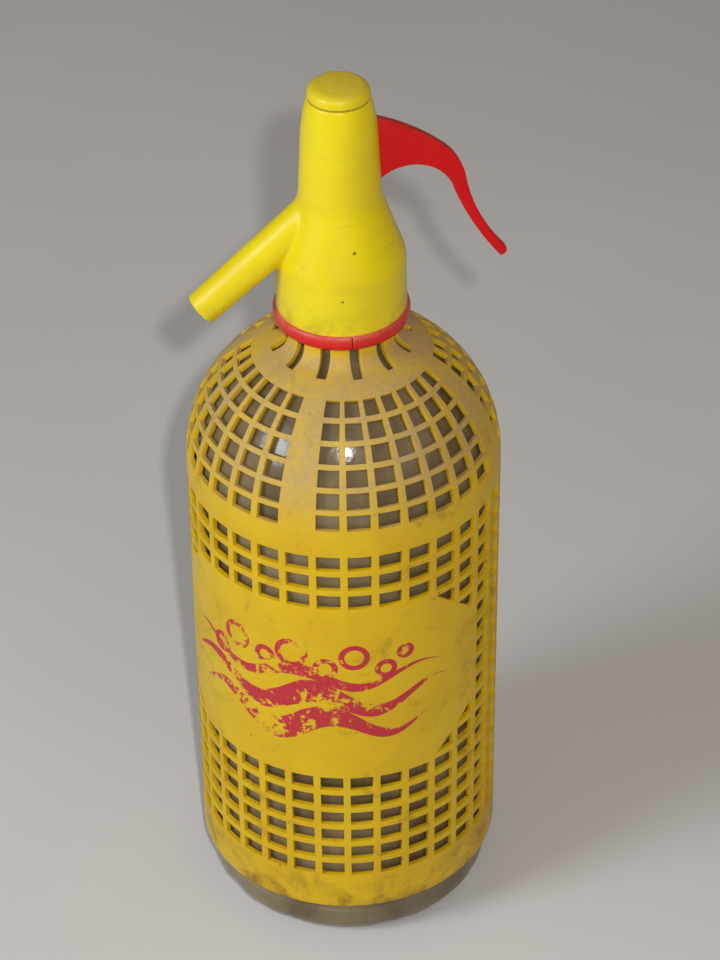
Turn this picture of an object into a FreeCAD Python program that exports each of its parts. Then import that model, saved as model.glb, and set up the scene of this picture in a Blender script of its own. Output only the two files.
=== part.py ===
"""Soda siphon: a glass bottle in a plastic mesh cover with a screwed-on head, a spout and a lever valve.

Lengths are millimetres. The origin is the middle of the bottle's underside, +Z is up, the lever
points along +X and the spout along -X.
"""

import FreeCAD
import Part
import math
import os

import Sketcher
from FreeCAD import Placement, Rotation, Vector

PARTS = "parts"
Z_AXIS = Vector(0, 0, 1)
ORIGIN = Vector(0, 0, 0)

document = FreeCAD.newDocument("SodaSiphon")
sheet = document.addObject("Spreadsheet::Sheet", "Sizes")


class Size:
    """A length or angle that knows its value and how it follows from the sheet."""

    def __init__(self, value, text):
        self.value = value
        self.text = text

    def joined(self, other, sign, value):
        text = other.text if isinstance(other, Size) else repr(other)
        return Size(value, f"({self.text} {sign} {text})")

    def __add__(self, other):
        return self.joined(other, "+", self.value + plain(other))

    def __sub__(self, other):
        return self.joined(other, "-", self.value - plain(other))

    def __mul__(self, other):
        return self.joined(other, "*", self.value * plain(other))

    def __truediv__(self, other):
        return self.joined(other, "/", self.value / plain(other))

    def __neg__(self):
        return Size(-self.value, f"(0 - {self.text})")


def plain(number):
    """The bare value of a size or a number."""
    return number.value if isinstance(number, Size) else number


def cosine(angle):
    """Cosine of an angle in degrees."""
    return Size(math.cos(math.radians(angle.value)), f"cos({angle.text} * 1 deg)")


def sine(angle):
    """Sine of an angle in degrees."""
    return Size(math.sin(math.radians(angle.value)), f"sin({angle.text} * 1 deg)")


def root(number):
    """Square root."""
    return Size(math.sqrt(number.value), f"sqrt({number.text})")


def arc_cosine(number):
    """Angle in degrees."""
    return Size(math.degrees(math.acos(number.value)), f"(acos({number.text}) / 1 deg)")


cell_row = 0


def size(name, value):
    """Write one driving dimension into the sheet under its own name."""
    global cell_row
    cell_row += 1
    sheet.set(f"A{cell_row}", name)
    sheet.set(f"B{cell_row}", repr(value))
    sheet.setAlias(f"B{cell_row}", name)
    return Size(float(value), f"Sizes.{name}")


def follows(name, formula):
    """Write a size that follows from others into the sheet under its own name."""
    global cell_row
    cell_row += 1
    sheet.set(f"A{cell_row}", name)
    sheet.set(f"B{cell_row}", f"={formula.text.replace('Sizes.', '')}")
    sheet.setAlias(f"B{cell_row}", name)
    return Size(formula.value, f"Sizes.{name}")


# Running, seating and free gaps between pieces
running_gap = size("running_gap", 0.05)
seating_gap = size("seating_gap", 0.1)
free_gap = size("free_gap", 0.3)

# Glass bottle
glass_radius = size("glass_radius", 51.4)
glass_wall = size("glass_wall", 5.0)
glass_floor = size("glass_floor", 8.0)
heel_radius = size("heel_radius", 9.0)
foot_width = size("foot_width", 6.0)
foot_recess = size("foot_recess", 1.5)
shoulder_height = size("shoulder_height", 185.0)
dome_radius = size("dome_radius", 47.4)
neck_radius = size("neck_radius", 16.0)
neck_bore = size("neck_bore", 10.5)
neck_fillet = size("neck_fillet", 9.0)
bead_radius = size("bead_radius", 17.7)
bead_depth = size("bead_depth", 5.0)
neck_length = size("neck_length", 24.6554)
glass_edge_round = size("glass_edge_round", 1.2)

# Plastic mesh cover
cover_wall = size("cover_wall", 2.3)
cover_bottom = size("cover_bottom", 18.6)
cover_top_drop = size("cover_top_drop", 21.4)
cover_lip_round = size("cover_lip_round", 1.2)
grille_columns = 32
grille_rows = 18
gap_angle = size("gap_angle", 7.8)
gap_rise = size("gap_rise", 4.6)
lowest_row_rise = size("lowest_row_rise", 18.3)
highest_row_drop = size("highest_row_drop", 8.1)
dome_rows = 6
neck_facets = 4
dome_first_angle = size("dome_first_angle", 9.8)
dome_row_angle = size("dome_row_angle", 8.9)
rib_direction = size("rib_direction", 240.3)
ribs = 4
panel_columns = 13
panel_rows = 9
panel_first_row = 6
panel_slant_columns = 2
panel_slant_drop = size("panel_slant_drop", 17.6)
slots = 12
slot_width = size("slot_width", 2.9)
slot_reach = size("slot_reach", 24.2)
slot_top_hoop = size("slot_top_hoop", 1.4)

# Red collar in two halves
collar_flange_radius = size("collar_flange_radius", 22.9)
collar_flange_height = size("collar_flange_height", 6.0)
collar_edge_round = size("collar_edge_round", 2.0)
collar_spigot_radius = size("collar_spigot_radius", 18.9)
collar_seam_direction = size("collar_seam_direction", 266.3)
collar_seam_gap = size("collar_seam_gap", 0.6)

# Mouth gasket and the seat insert that carries the dip tube
gasket_thickness = size("gasket_thickness", 2.0)
insert_flange_radius = size("insert_flange_radius", 16.4)
insert_flange_thickness = size("insert_flange_thickness", 2.8)
insert_boss_radius = size("insert_boss_radius", 6.6)
insert_boss_length = size("insert_boss_length", 9.0)
insert_spigot_radius = size("insert_spigot_radius", 8.0)
insert_spigot_length = size("insert_spigot_length", 7.4)
seat_lip_radius = size("seat_lip_radius", 4.2)
seat_lip_height = size("seat_lip_height", 1.3)
seat_bore = size("seat_bore", 3.2)
seat_washer_thickness = size("seat_washer_thickness", 0.8)
tube_radius = size("tube_radius", 3.2)
tube_wall = size("tube_wall", 0.9)
tube_foot_gap = size("tube_foot_gap", 4.0)
tube_grip = size("tube_grip", 10.0)
bush_wall = size("bush_wall", 1.4)

# Head moulding
skirt_bottom_radius = size("skirt_bottom_radius", 21.9)
skirt_top_radius = size("skirt_top_radius", 21.5)
skirt_height = size("skirt_height", 16.0)
skirt_edge_round = size("skirt_edge_round", 5.0)
cone_foot_radius = size("cone_foot_radius", 20.7)
skirt_edge_height = size("skirt_edge_height", 5.2)
cone_waist_radius = size("cone_waist_radius", 15.2)
cone_height = size("cone_height", 15.4)
barrel_foot_radius = size("barrel_foot_radius", 13.5)
waist_height = size("waist_height", 8.9)
waist_round = size("waist_round", 40.0)
barrel_neck_radius = size("barrel_neck_radius", 12.6)
barrel_height = size("barrel_height", 17.3)
barrel_round = size("barrel_round", 60.0)
barrel_top_radius = size("barrel_top_radius", 10.4)
barrel_taper_height = size("barrel_taper_height", 14.2)
skirt_seat_radius = size("skirt_seat_radius", 18.1)
chamber_radius = size("chamber_radius", 6.9)
chamber_height = size("chamber_height", 14.2)
packing_floor_thickness = size("packing_floor_thickness", 1.2)
packing_radius = size("packing_radius", 5.4)
packing_height = size("packing_height", 2.8)
guide_radius = size("guide_radius", 8.5)

# Spout
spout_angle = size("spout_angle", 40.3)
spout_rise = size("spout_rise", 43.5)
spout_length = size("spout_length", 62.2)
spout_tip_radius = size("spout_tip_radius", 5.85)
spout_root_radius = size("spout_root_radius", 6.7)
spout_bore = size("spout_bore", 2.5)
spout_mouth_bore = size("spout_mouth_bore", 3.2)
spout_mouth_depth = size("spout_mouth_depth", 20.0)

# Valve
valve_lift = size("valve_lift", 2.3)
stem_radius = size("stem_radius", 3.0)
disc_radius = size("disc_radius", 5.6)
disc_thickness = size("disc_thickness", 2.4)
disc_plate_thickness = size("disc_plate_thickness", 1.6)
screw_radius = size("screw_radius", 1.3)
screw_head_radius = size("screw_head_radius", 2.3)
screw_head_height = size("screw_head_height", 1.2)
screw_length = size("screw_length", 8.0)
yoke_radius = size("yoke_radius", 4.5)
yoke_half_height = size("yoke_half_height", 6.6)
spring_peg_radius = size("spring_peg_radius", 2.2)
spring_peg_height = size("spring_peg_height", 3.6)
spring_washer_thickness = size("spring_washer_thickness", 0.6)
spring_wire = size("spring_wire", 1.1)
spring_radius = size("spring_radius", 3.4)

# Lever and its pin
lever_thickness = size("lever_thickness", 3.2)
lever_slot_gap = size("lever_slot_gap", 0.3)
pin_reach = size("pin_reach", 6.4)
pin_rise = size("pin_rise", 11.5)
pin_radius = size("pin_radius", 1.2)
pin_length = size("pin_length", 7.4)
tongue_radius = size("tongue_radius", 2.1)
tongue_end_round = size("tongue_end_round", 2.5)
hub_reach = size("hub_reach", 0.8)
root_top_reach = size("root_top_reach", 4.6)
root_top_rise = size("root_top_rise", 10.4)
back_bend_reach = size("back_bend_reach", 27.2)
back_bend_drop = size("back_bend_drop", 2.5)
back_fall_reach = size("back_fall_reach", 35.6)
back_fall_drop = size("back_fall_drop", 16.7)
tip_top_reach = size("tip_top_reach", 49.6)
tip_top_drop = size("tip_top_drop", 45.6)
tip_bottom_reach = size("tip_bottom_reach", 47.6)
tip_bottom_drop = size("tip_bottom_drop", 48.4)
belly_fall_reach = size("belly_fall_reach", 32.0)
belly_fall_drop = size("belly_fall_drop", 21.4)
belly_bend_reach = size("belly_bend_reach", 25.9)
belly_bend_drop = size("belly_bend_drop", 11.9)
root_bottom_reach = size("root_bottom_reach", 7.0)
root_bottom_drop = size("root_bottom_drop", 12.4)
back_round = size("back_round", 70.0)
knuckle_round = size("knuckle_round", 22.0)
tail_round = size("tail_round", 64.0)
belly_round = size("belly_round", 15.5)
belly_knuckle_round = size("belly_knuckle_round", 17.0)
belly_tail_round = size("belly_tail_round", 110.0)
tip_round = size("tip_round", 2.0)
slot_floor_thickness = size("slot_floor_thickness", 1.0)
slot_rise = size("slot_rise", 11.4)
slot_inner_reach = size("slot_inner_reach", 7.2)
guide_floor_thickness = size("guide_floor_thickness", 1.5)

# Cap
cap_washer_thickness = size("cap_washer_thickness", 0.5)
cap_radius = size("cap_radius", 10.2)
cap_wall_height = size("cap_wall_height", 2.0)
cap_crown_radius = size("cap_crown_radius", 6.8)
cap_height = size("cap_height", 8.5)
cap_peak = size("cap_peak", 0.4)
cap_spigot_length = size("cap_spigot_length", 4.4)
cap_recess_depth = size("cap_recess_depth", 2.4)

# Heights and radii that follow from the sizes above
cover_inner = glass_radius + free_gap
cover_outer = cover_inner + cover_wall
dome_centre = glass_radius - dome_radius
neck_centre = neck_radius + neck_fillet
neck_across = neck_centre - dome_centre
neck_reach = dome_radius + neck_fillet
neck_rise = follows("neck_rise", root(neck_reach * neck_reach - neck_across * neck_across))
neck_lean = follows("neck_lean", arc_cosine(neck_across / neck_reach))
mouth_height = shoulder_height + neck_rise + neck_length
cover_top = mouth_height - cover_top_drop
lowest_row = cover_bottom + lowest_row_rise
row_pitch = (shoulder_height - highest_row_drop - lowest_row) / float(grille_rows - 1)
skirt_bottom = cover_top + free_gap + collar_flange_height + seating_gap
skirt_top_height = skirt_bottom + skirt_height
cone_foot_height = skirt_top_height + skirt_edge_height
cone_waist_height = cone_foot_height + cone_height
barrel_foot_height = cone_waist_height + waist_height
barrel_neck_height = barrel_foot_height + barrel_height
barrel_top_height = barrel_neck_height + barrel_taper_height
gasket_top = mouth_height + gasket_thickness
insert_top = gasket_top + insert_flange_thickness
skirt_ceiling = insert_top + seating_gap
spigot_top = insert_top + insert_spigot_length
chamber_floor = spigot_top + seat_washer_thickness + seating_gap * 2
seat_height = chamber_floor + seat_lip_height
chamber_ceiling = chamber_floor + chamber_height
packing_foot = chamber_ceiling + packing_floor_thickness
guide_foot = packing_foot + packing_height + seating_gap
pin_height = guide_foot + pin_rise
guide_floor = guide_foot + guide_floor_thickness
slot_bottom = chamber_ceiling + slot_floor_thickness
slot_top = pin_height + slot_rise
spout_height = skirt_bottom + spout_rise
barrel_bore = guide_radius + seating_gap
disc_foot = seat_height + seating_gap
plate_foot = disc_foot + disc_thickness
yoke_foot = pin_height - yoke_half_height
yoke_top = pin_height + yoke_half_height
spring_foot = yoke_top + spring_washer_thickness
cap_flange_foot = barrel_top_height + cap_washer_thickness
cap_spigot_foot = cap_flange_foot - cap_spigot_length
guide_top = cap_spigot_foot - seating_gap
spring_top = cap_flange_foot + cap_recess_depth
slot_breadth = lever_thickness + lever_slot_gap * 2
collar_step = mouth_height - bead_depth - seating_gap
nothing = size("axis_line", 0.0)


def arc(radius, side):
    """Marks the outline's next stretch as an arc, with its centre to the left (1) or right (-1)."""
    return radius, side


def draw_outline(sketch, outline, first):
    """Draw one closed outline of lines and arcs, each corner tied to the sheet."""
    corners = [(entry[0], entry[1]) for entry in outline]
    bends = [entry[2] if len(entry) > 2 else None for entry in outline]
    count = len(corners)
    ends = []
    for index in range(count):
        start = Vector(plain(corners[index][0]), plain(corners[index][1]), 0)
        finish_corner = corners[(index + 1) % count]
        finish = Vector(plain(finish_corner[0]), plain(finish_corner[1]), 0)
        bend = bends[index]
        if bend is None:
            sketch.addGeometry(Part.LineSegment(start, finish), False)
            ends.append((1, 2))
        else:
            radius, side = bend
            chord = finish - start
            half = chord.Length / 2
            reach = math.sqrt(max(radius.value ** 2 - half ** 2, 0.0))
            left = Vector(-chord.y, chord.x, 0).normalize()
            centre = (start + finish) * 0.5 + left * (reach * side)
            from_angle = math.atan2(start.y - centre.y, start.x - centre.x)
            to_angle = math.atan2(finish.y - centre.y, finish.x - centre.x)
            circle = Part.Circle(centre, Z_AXIS, radius.value)
            if side > 0:
                sketch.addGeometry(Part.ArcOfCircle(circle, from_angle, to_angle), False)
                ends.append((1, 2))
            else:
                sketch.addGeometry(Part.ArcOfCircle(circle, to_angle, from_angle), False)
                ends.append((2, 1))
    for index in range(count):
        here = first + index
        following = first + (index + 1) % count
        sketch.addConstraint(
            Sketcher.Constraint("Coincident", here, ends[index][1], following, ends[(index + 1) % count][0])
        )
    for index in range(count):
        here = first + index
        tie_point(sketch, here, ends[index][0], corners[index])
        if bends[index] is not None:
            tie(sketch, Sketcher.Constraint("Radius", here, bends[index][0].value), bends[index][0])
    return first + count


def tie(sketch, constraint, amount):
    """Add a constraint whose value follows the sheet."""
    number = sketch.addConstraint(constraint)
    if isinstance(amount, Size):
        sketch.setExpression(f"Constraints[{number}]", amount.text)


def tie_point(sketch, geometry, end, corner):
    """Fix a point's two coordinates, on the axes where a coordinate is nought."""
    for amount, kind, axis in ((corner[0], "DistanceX", -2), (corner[1], "DistanceY", -1)):
        if abs(plain(amount)) < 1e-9:
            sketch.addConstraint(Sketcher.Constraint("PointOnObject", geometry, end, axis))
        else:
            tie(sketch, Sketcher.Constraint(kind, geometry, end, plain(amount)), amount)


def new_body(label):
    """An empty body under the sub-part's name."""
    body = document.addObject("PartDesign::Body", label)
    body.Label = label
    return body


def new_sketch(body, name, outlines, axis=None, circles=()):
    """A sketch on the body's XZ plane: its X is the siphon's X and its Y is the siphon's Z."""
    sketch = body.newObject("Sketcher::SketchObject", name)
    plane = [item for item in body.Origin.OriginFeatures if item.Role == "XZ_Plane"][0]
    sketch.AttachmentSupport = [(plane, "")]
    sketch.MapMode = "FlatFace"
    first = 0
    for outline in outlines:
        first = draw_outline(sketch, outline, first)
    for centre, radius in circles:
        middle = Vector(plain(centre[0]), plain(centre[1]), 0)
        sketch.addGeometry(Part.Circle(middle, Z_AXIS, plain(radius)), False)
        tie_point(sketch, first, 3, centre)
        tie(sketch, Sketcher.Constraint("Radius", first, plain(radius)), radius)
        first += 1
    if axis is not None:
        start = Vector(plain(axis[0][0]), plain(axis[0][1]), 0)
        finish = Vector(plain(axis[1][0]), plain(axis[1][1]), 0)
        sketch.addGeometry(Part.LineSegment(start, finish), True)
        tie_point(sketch, first, 1, axis[0])
        tie_point(sketch, first, 2, axis[1])
    return sketch


def turn(body, name, outlines, kind="PartDesign::Revolution", angle=None, axis=None):
    """Turn outlines about the upright axis, or about the sketch's own axis line."""
    sketch = new_sketch(body, f"{name}_outline", outlines, axis)
    feature = body.newObject(kind, name)
    feature.Profile = sketch
    feature.ReferenceAxis = (sketch, ["V_Axis"] if axis is None else ["Axis0"])
    feature.Angle = 360.0
    if angle is not None:
        feature.Angle = angle.value
        feature.setExpression("Angle", angle.text)
    body.Tip = feature
    return feature


def extrude(body, name, outlines, length, kind="PartDesign::Pad", circles=()):
    """Pad or pocket an outline by the same amount on both sides of the XZ plane."""
    sketch = new_sketch(body, f"{name}_outline", outlines, circles=circles)
    feature = body.newObject(kind, name)
    feature.Profile = sketch
    feature.Type = 0
    feature.Length = length.value
    feature.setExpression("Length", length.text)
    feature.Midplane = True
    body.Tip = feature
    return feature


def box_outline(low_x, high_x, low_z, high_z):
    """A plain rectangle."""
    return [(low_x, low_z), (high_x, low_z), (high_x, high_z), (low_x, high_z)]


def turned_piece(label, *outlines):
    """A piece turned from closed outlines."""
    body = new_body(label)
    turn(body, f"{label}_form", outlines)
    return body


def facet(centre, radius, angle, rise=None):
    """A point on a circle, or on an ellipse of its own rise, at an angle in degrees."""
    if not isinstance(angle, Size):
        angle = Size(float(angle), repr(float(angle)))
    return centre[0] + radius * cosine(angle), centre[1] + (rise or radius) * sine(angle)


def facets(centre, radius, angles, rise=None):
    """Corners of the narrow bands that stand for a turned arc."""
    return [facet(centre, radius, angle, rise) for angle in angles]


def dome_lean(row):
    """The angle above the shoulder at which a dome row's band begins."""
    return dome_first_angle + dome_row_angle * (row - 0.5)


def shoulder_bands(offset):
    """The dome at a distance outside the glass, from the shoulder up, one band for each row of gaps."""
    centre = (dome_centre, shoulder_height)
    return facets(centre, dome_radius + offset, [dome_lean(row) for row in range(dome_rows + 1)])


def neck_bands(offset):
    """The fillet at a distance outside the glass, from the dome to the foot of the neck."""
    centre = (neck_centre, shoulder_height + neck_rise)
    angles = [neck_lean * (step / neck_facets) + 180.0 for step in range(neck_facets, -1, -1)]
    return facets(centre, neck_fillet - offset, angles)


def glass_bottle():
    inner_radius = glass_radius - glass_wall
    inner_dome = dome_radius - glass_wall
    inner_heel = heel_radius - glass_wall
    foot_edge = glass_radius - heel_radius
    dome = (dome_centre, shoulder_height)
    inner_rise = root(inner_dome * inner_dome - (neck_bore - dome_centre) * (neck_bore - dome_centre))
    bead_foot = mouth_height - bead_depth
    bead = (bead_radius - glass_edge_round, mouth_height - glass_edge_round)
    outline = [(nothing, foot_recess)]
    outline += [(foot_edge - foot_width, foot_recess), (foot_edge - foot_width + foot_recess, nothing)]
    outline += [(foot_edge, nothing)]
    outline += facets((foot_edge, heel_radius), heel_radius, [-72, -54, -36, -18])
    outline += [(glass_radius, heel_radius), (glass_radius, shoulder_height)]
    outline += shoulder_bands(nothing)
    outline += neck_bands(nothing)
    outline += [(neck_radius, bead_foot), (bead_radius, bead_foot + (bead_radius - neck_radius))]
    outline += facets(bead, glass_edge_round, [0, 45, 90])
    outline += [(neck_bore, mouth_height), (neck_bore, shoulder_height + inner_rise)]
    outline += facets(dome, inner_dome, [dome_lean(row) for row in range(dome_rows, -1, -2)])
    outline += [(inner_radius, shoulder_height), (inner_radius, glass_floor + inner_heel)]
    outline += facets((inner_radius - inner_heel, glass_floor + inner_heel), inner_heel, [-30, -60])
    outline += [(inner_radius - inner_heel, glass_floor), (nothing, glass_floor)]
    return turned_piece("glass_bottle", outline)


def sector(outline, width, direction):
    """A cutter with the given outline in a plane through the axis, turned through a few degrees."""
    corners = [Vector(x, 0, z) for x, z in outline]
    face = Part.Face(Part.makePolygon(corners + corners[:1]))
    solid = face.revolve(ORIGIN, Z_AXIS, width)
    return solid.rotated(ORIGIN, Z_AXIS, direction - width / 2)


def panel_column(column):
    """How many columns a column lies from the middle of its label panel; the panels are opposite each other."""
    half = grille_columns // 2
    return (column + half // 2) % half - half // 2


def panel_edge(offset_angle, pitch):
    """Half the height of the label panel at an angle from its middle: level, then slanted to its ends."""
    level = (panel_columns / 2 - panel_slant_columns) * pitch
    half = panel_rows * row_pitch.value / 2
    beyond = max(abs(offset_angle) - level, 0.0) / (panel_slant_columns * pitch)
    return half - beyond * panel_slant_drop.value


def clipped_gap(column_angle, offset, low, high, middle, upper, pitch):
    """The part of one grille gap that the slanted edge of the label panel leaves open."""
    width = gap_angle.value
    steps = 4
    inner = cover_inner.value - free_gap.value
    outer = cover_outer.value + free_gap.value
    slices = []
    for step in range(steps):
        angle = offset - width / 2 + width * (step + 0.5) / steps
        edge = panel_edge(angle, pitch)
        if upper:
            bottom, top = max(low, middle + edge), high
        else:
            bottom, top = low, min(high, middle - edge)
        if top - bottom < 0.4:
            continue
        outline = [(inner, bottom), (outer, bottom), (outer, top), (inner, top)]
        slices.append(sector(outline, width / steps, column_angle + angle - offset))
    if not slices:
        return []
    whole = slices[0]
    for piece in slices[1:]:
        whole = whole.fuse(piece)
    return [whole.removeSplitter()]


def wall_gaps():
    """Gaps of the straight wall: full columns beside the label panels, short ones above and below them."""
    pitch = 360.0 / grille_columns
    half_rise = gap_rise.value / 2
    inner = cover_inner.value - free_gap.value
    outer = cover_outer.value + free_gap.value
    middle_row = panel_first_row + (panel_rows - 1) / 2
    middle = lowest_row.value + middle_row * row_pitch.value
    gaps = []
    for column in range(grille_columns):
        offset = panel_column(column)
        direction = rib_direction.value + column * pitch
        for row in range(grille_rows):
            centre = lowest_row.value + row * row_pitch.value
            low, high = centre - half_rise, centre + half_rise
            in_panel = abs(offset) <= panel_columns // 2 and abs(row - middle_row) <= panel_rows / 2
            if not in_panel:
                outline = [(inner, low), (outer, low), (outer, high), (inner, high)]
                gaps.append(sector(outline, gap_angle.value, direction))
            elif abs(offset) > panel_columns // 2 - panel_slant_columns:
                gaps += clipped_gap(direction, offset * pitch, low, high, middle, row > middle_row, pitch)
    return gaps


def dome_gaps():
    """Gaps of the dome, square to its surface, left out where the four broad ribs run."""
    pitch = 360.0 / grille_columns
    centre = Vector(dome_centre.value, 0, shoulder_height.value)
    inner = dome_radius.value
    outer = dome_radius.value + free_gap.value * 2 + cover_wall.value
    half_rise = gap_rise.value / 2
    gaps = []
    for row in range(dome_rows):
        lean = math.radians(dome_first_angle.value + row * dome_row_angle.value)
        out = Vector(math.cos(lean), 0, math.sin(lean))
        up = Vector(-math.sin(lean), 0, math.cos(lean))
        corners = [
            centre + out * inner - up * half_rise,
            centre + out * outer - up * half_rise,
            centre + out * outer + up * half_rise,
            centre + out * inner + up * half_rise,
        ]
        outline = [(corner.x, corner.z) for corner in corners]
        for column in range(grille_columns):
            if column % (grille_columns // ribs):
                direction = rib_direction.value + column * pitch
                gaps.append(sector(outline, gap_angle.value, direction))
    return gaps


def neck_slots():
    """Narrow slots that run from the dome up the neck, level at the top hoop."""
    foot = shoulder_height.value + dome_radius.value / 2
    top = cover_top.value - slot_top_hoop.value
    inner = neck_radius.value - free_gap.value
    cutters = []
    for index in range(slots):
        cutter = Part.makeBox(
            slot_reach.value - inner,
            slot_width.value,
            top - foot,
            Vector(inner, -slot_width.value / 2, foot),
        )
        cutters.append(cutter.rotated(ORIGIN, Z_AXIS, rib_direction.value + index * 360.0 / slots))
    return cutters


def mesh_cover():
    lip = (cover_outer - cover_lip_round, cover_bottom + cover_lip_round)
    outline = [(cover_inner, cover_bottom)]
    outline += facets(lip, cover_lip_round, [-90, -45, 0])
    outline += [(cover_outer, shoulder_height)]
    outline += shoulder_bands(free_gap + cover_wall)
    outline += neck_bands(free_gap + cover_wall)
    outline += [(neck_radius + free_gap + cover_wall, cover_top), (neck_radius + free_gap, cover_top)]
    outline += reversed(neck_bands(free_gap))
    outline += reversed(shoulder_bands(free_gap))
    outline += [(cover_inner, shoulder_height)]
    shell = turned_piece("cover_shell", outline)
    cutters = document.addObject("Part::Feature", "cover_gaps")
    cutters.Shape = Part.makeCompound(wall_gaps() + dome_gaps() + neck_slots())
    cover = document.addObject("Part::Cut", "mesh_cover")
    cover.Label = "mesh_cover"
    cover.Base = shell
    cover.Tool = cutters
    cover.Refine = False
    return cover


def collar_half(label, turned_by):
    """One half of the red collar: a rounded flange in sight and a threaded spigot under the glass bead."""
    flange_foot = cover_top + free_gap
    flange_top = flange_foot + collar_flange_height
    bore = neck_radius + free_gap
    edge = collar_edge_round
    middle = collar_flange_radius - edge
    outline = [(bore, flange_foot)]
    outline += facets((middle, flange_foot + edge), edge, [-90, -60, -30, 0])
    outline += facets((middle, flange_top - edge), edge, [0, 30, 60, 90])
    outline += [(collar_spigot_radius, flange_top), (collar_spigot_radius, collar_step), (bore, collar_step)]
    body = new_body(label)
    turn(body, f"{label}_form", [outline], angle=Size(180.0, "180") - collar_seam_gap)
    direction = collar_seam_direction + collar_seam_gap / 2 + turned_by
    body.Placement = Placement(ORIGIN, Rotation(Z_AXIS, direction.value))
    body.setExpression("Placement.Rotation.Angle", f"{direction.text} * 1 deg")
    return body


def mouth_gasket():
    return turned_piece(
        "mouth_gasket",
        box_outline(neck_bore + free_gap, insert_flange_radius, mouth_height + seating_gap, gasket_top - seating_gap),
    )


def seat_insert():
    """The screwed-in insert: a flange on the gasket, a boss for the dip tube and the valve seat's lip on top."""
    pocket = tube_radius + bush_wall + seating_gap
    pocket_top = gasket_top + tube_grip - insert_boss_length
    outline = [
        (pocket, gasket_top - insert_boss_length),
        (insert_boss_radius, gasket_top - insert_boss_length),
        (insert_boss_radius, gasket_top),
        (insert_flange_radius, gasket_top),
        (insert_flange_radius, insert_top),
        (insert_spigot_radius, insert_top),
        (insert_spigot_radius, spigot_top),
        (seat_lip_radius + seat_lip_height, spigot_top),
        (seat_lip_radius, seat_height),
        (seat_bore, seat_height),
        (seat_bore, pocket_top),
        (pocket, pocket_top),
    ]
    return turned_piece("seat_insert", outline)


def seat_washer():
    low = spigot_top + seating_gap
    high = low + seat_washer_thickness
    inner = chamber_radius - seating_gap * 2
    return turned_piece("seat_washer", box_outline(inner, insert_spigot_radius - seating_gap, low, high))


def tube_bush():
    low = gasket_top - insert_boss_length - seating_gap * 2
    high = gasket_top + tube_grip - insert_boss_length - seating_gap
    return turned_piece("tube_bush", box_outline(tube_radius + running_gap, tube_radius + bush_wall, low, high))


def dip_tube():
    low = glass_floor + tube_foot_gap
    high = gasket_top + tube_grip - insert_boss_length - seating_gap
    return turned_piece("dip_tube", box_outline(tube_radius - tube_wall, tube_radius, low, high))


def along_spout(distance, across):
    """A point on the XZ plane by its distance down the spout's middle line and its height above that line."""
    x = across * sine(spout_angle) * -1.0 - distance * cosine(spout_angle)
    z = spout_height - distance * sine(spout_angle) + across * cosine(spout_angle)
    return x, z


def head_body():
    """The yellow moulding: skirt, cone, barrel and spout in one piece, bored out for the valve."""
    body = new_body("head_body")
    outer = [
        (nothing, skirt_bottom),
        (skirt_bottom_radius, skirt_bottom),
        (skirt_top_radius, skirt_top_height, arc(skirt_edge_round * 2, 1)),
        (cone_foot_radius, cone_foot_height),
        (cone_waist_radius, cone_waist_height, arc(waist_round, -1)),
        (barrel_foot_radius, barrel_foot_height),
        (barrel_neck_radius, barrel_neck_height, arc(barrel_round, 1)),
        (barrel_top_radius, barrel_top_height),
        (nothing, barrel_top_height),
    ]
    turn(body, "head_outside", [outer])
    axis = (along_spout(nothing, nothing), along_spout(spout_length, nothing))
    spout = [
        along_spout(nothing, nothing),
        along_spout(nothing, spout_root_radius),
        along_spout(spout_length, spout_tip_radius),
        along_spout(spout_length, nothing),
    ]
    turn(body, "spout_outside", [spout], axis=axis)
    cavities = [
        (nothing, skirt_bottom - free_gap),
        (collar_spigot_radius + free_gap, skirt_bottom - free_gap),
        (collar_spigot_radius + free_gap, collar_step + free_gap * 2),
        (skirt_seat_radius, collar_step + free_gap * 3 + seating_gap),
        (skirt_seat_radius, skirt_ceiling),
        (insert_spigot_radius + seating_gap, skirt_ceiling),
        (insert_spigot_radius + seating_gap, chamber_floor),
        (chamber_radius, chamber_floor),
        (chamber_radius, chamber_ceiling),
        (stem_radius + free_gap, chamber_ceiling),
        (stem_radius + free_gap, packing_foot),
        (packing_radius + seating_gap, packing_foot),
        (packing_radius + seating_gap, guide_foot),
        (barrel_bore, guide_foot),
        (barrel_bore, barrel_top_height + free_gap),
        (nothing, barrel_top_height + free_gap),
    ]
    turn(body, "head_inside", [cavities], kind="PartDesign::Groove")
    beyond = spout_length + free_gap
    step = spout_length - spout_mouth_depth
    start = chamber_radius - free_gap
    bore = [
        along_spout(start, nothing),
        along_spout(start, spout_bore),
        along_spout(step, spout_bore),
        along_spout(step, spout_mouth_bore),
        along_spout(beyond, spout_mouth_bore),
        along_spout(beyond, nothing),
    ]
    turn(body, "spout_inside", [bore], kind="PartDesign::Groove", axis=axis)
    window = box_outline(slot_inner_reach, barrel_foot_radius + barrel_neck_radius, slot_bottom, slot_top)
    extrude(body, "lever_slot", [window], slot_breadth, kind="PartDesign::Pocket")
    return body


def valve_disc():
    inner = screw_radius + seating_gap
    return turned_piece("valve_disc", box_outline(inner, disc_radius, disc_foot, plate_foot - seating_gap))


def disc_screw():
    """Holds the rubber disc up against the piston's plate."""
    head_top = disc_foot - running_gap
    outline = [
        (nothing, head_top - screw_head_height),
        (screw_head_radius, head_top - screw_head_height),
        (screw_head_radius, head_top),
        (screw_radius, head_top),
        (screw_radius, head_top + screw_length),
        (nothing, head_top + screw_length),
    ]
    return turned_piece("disc_screw", outline)


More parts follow.
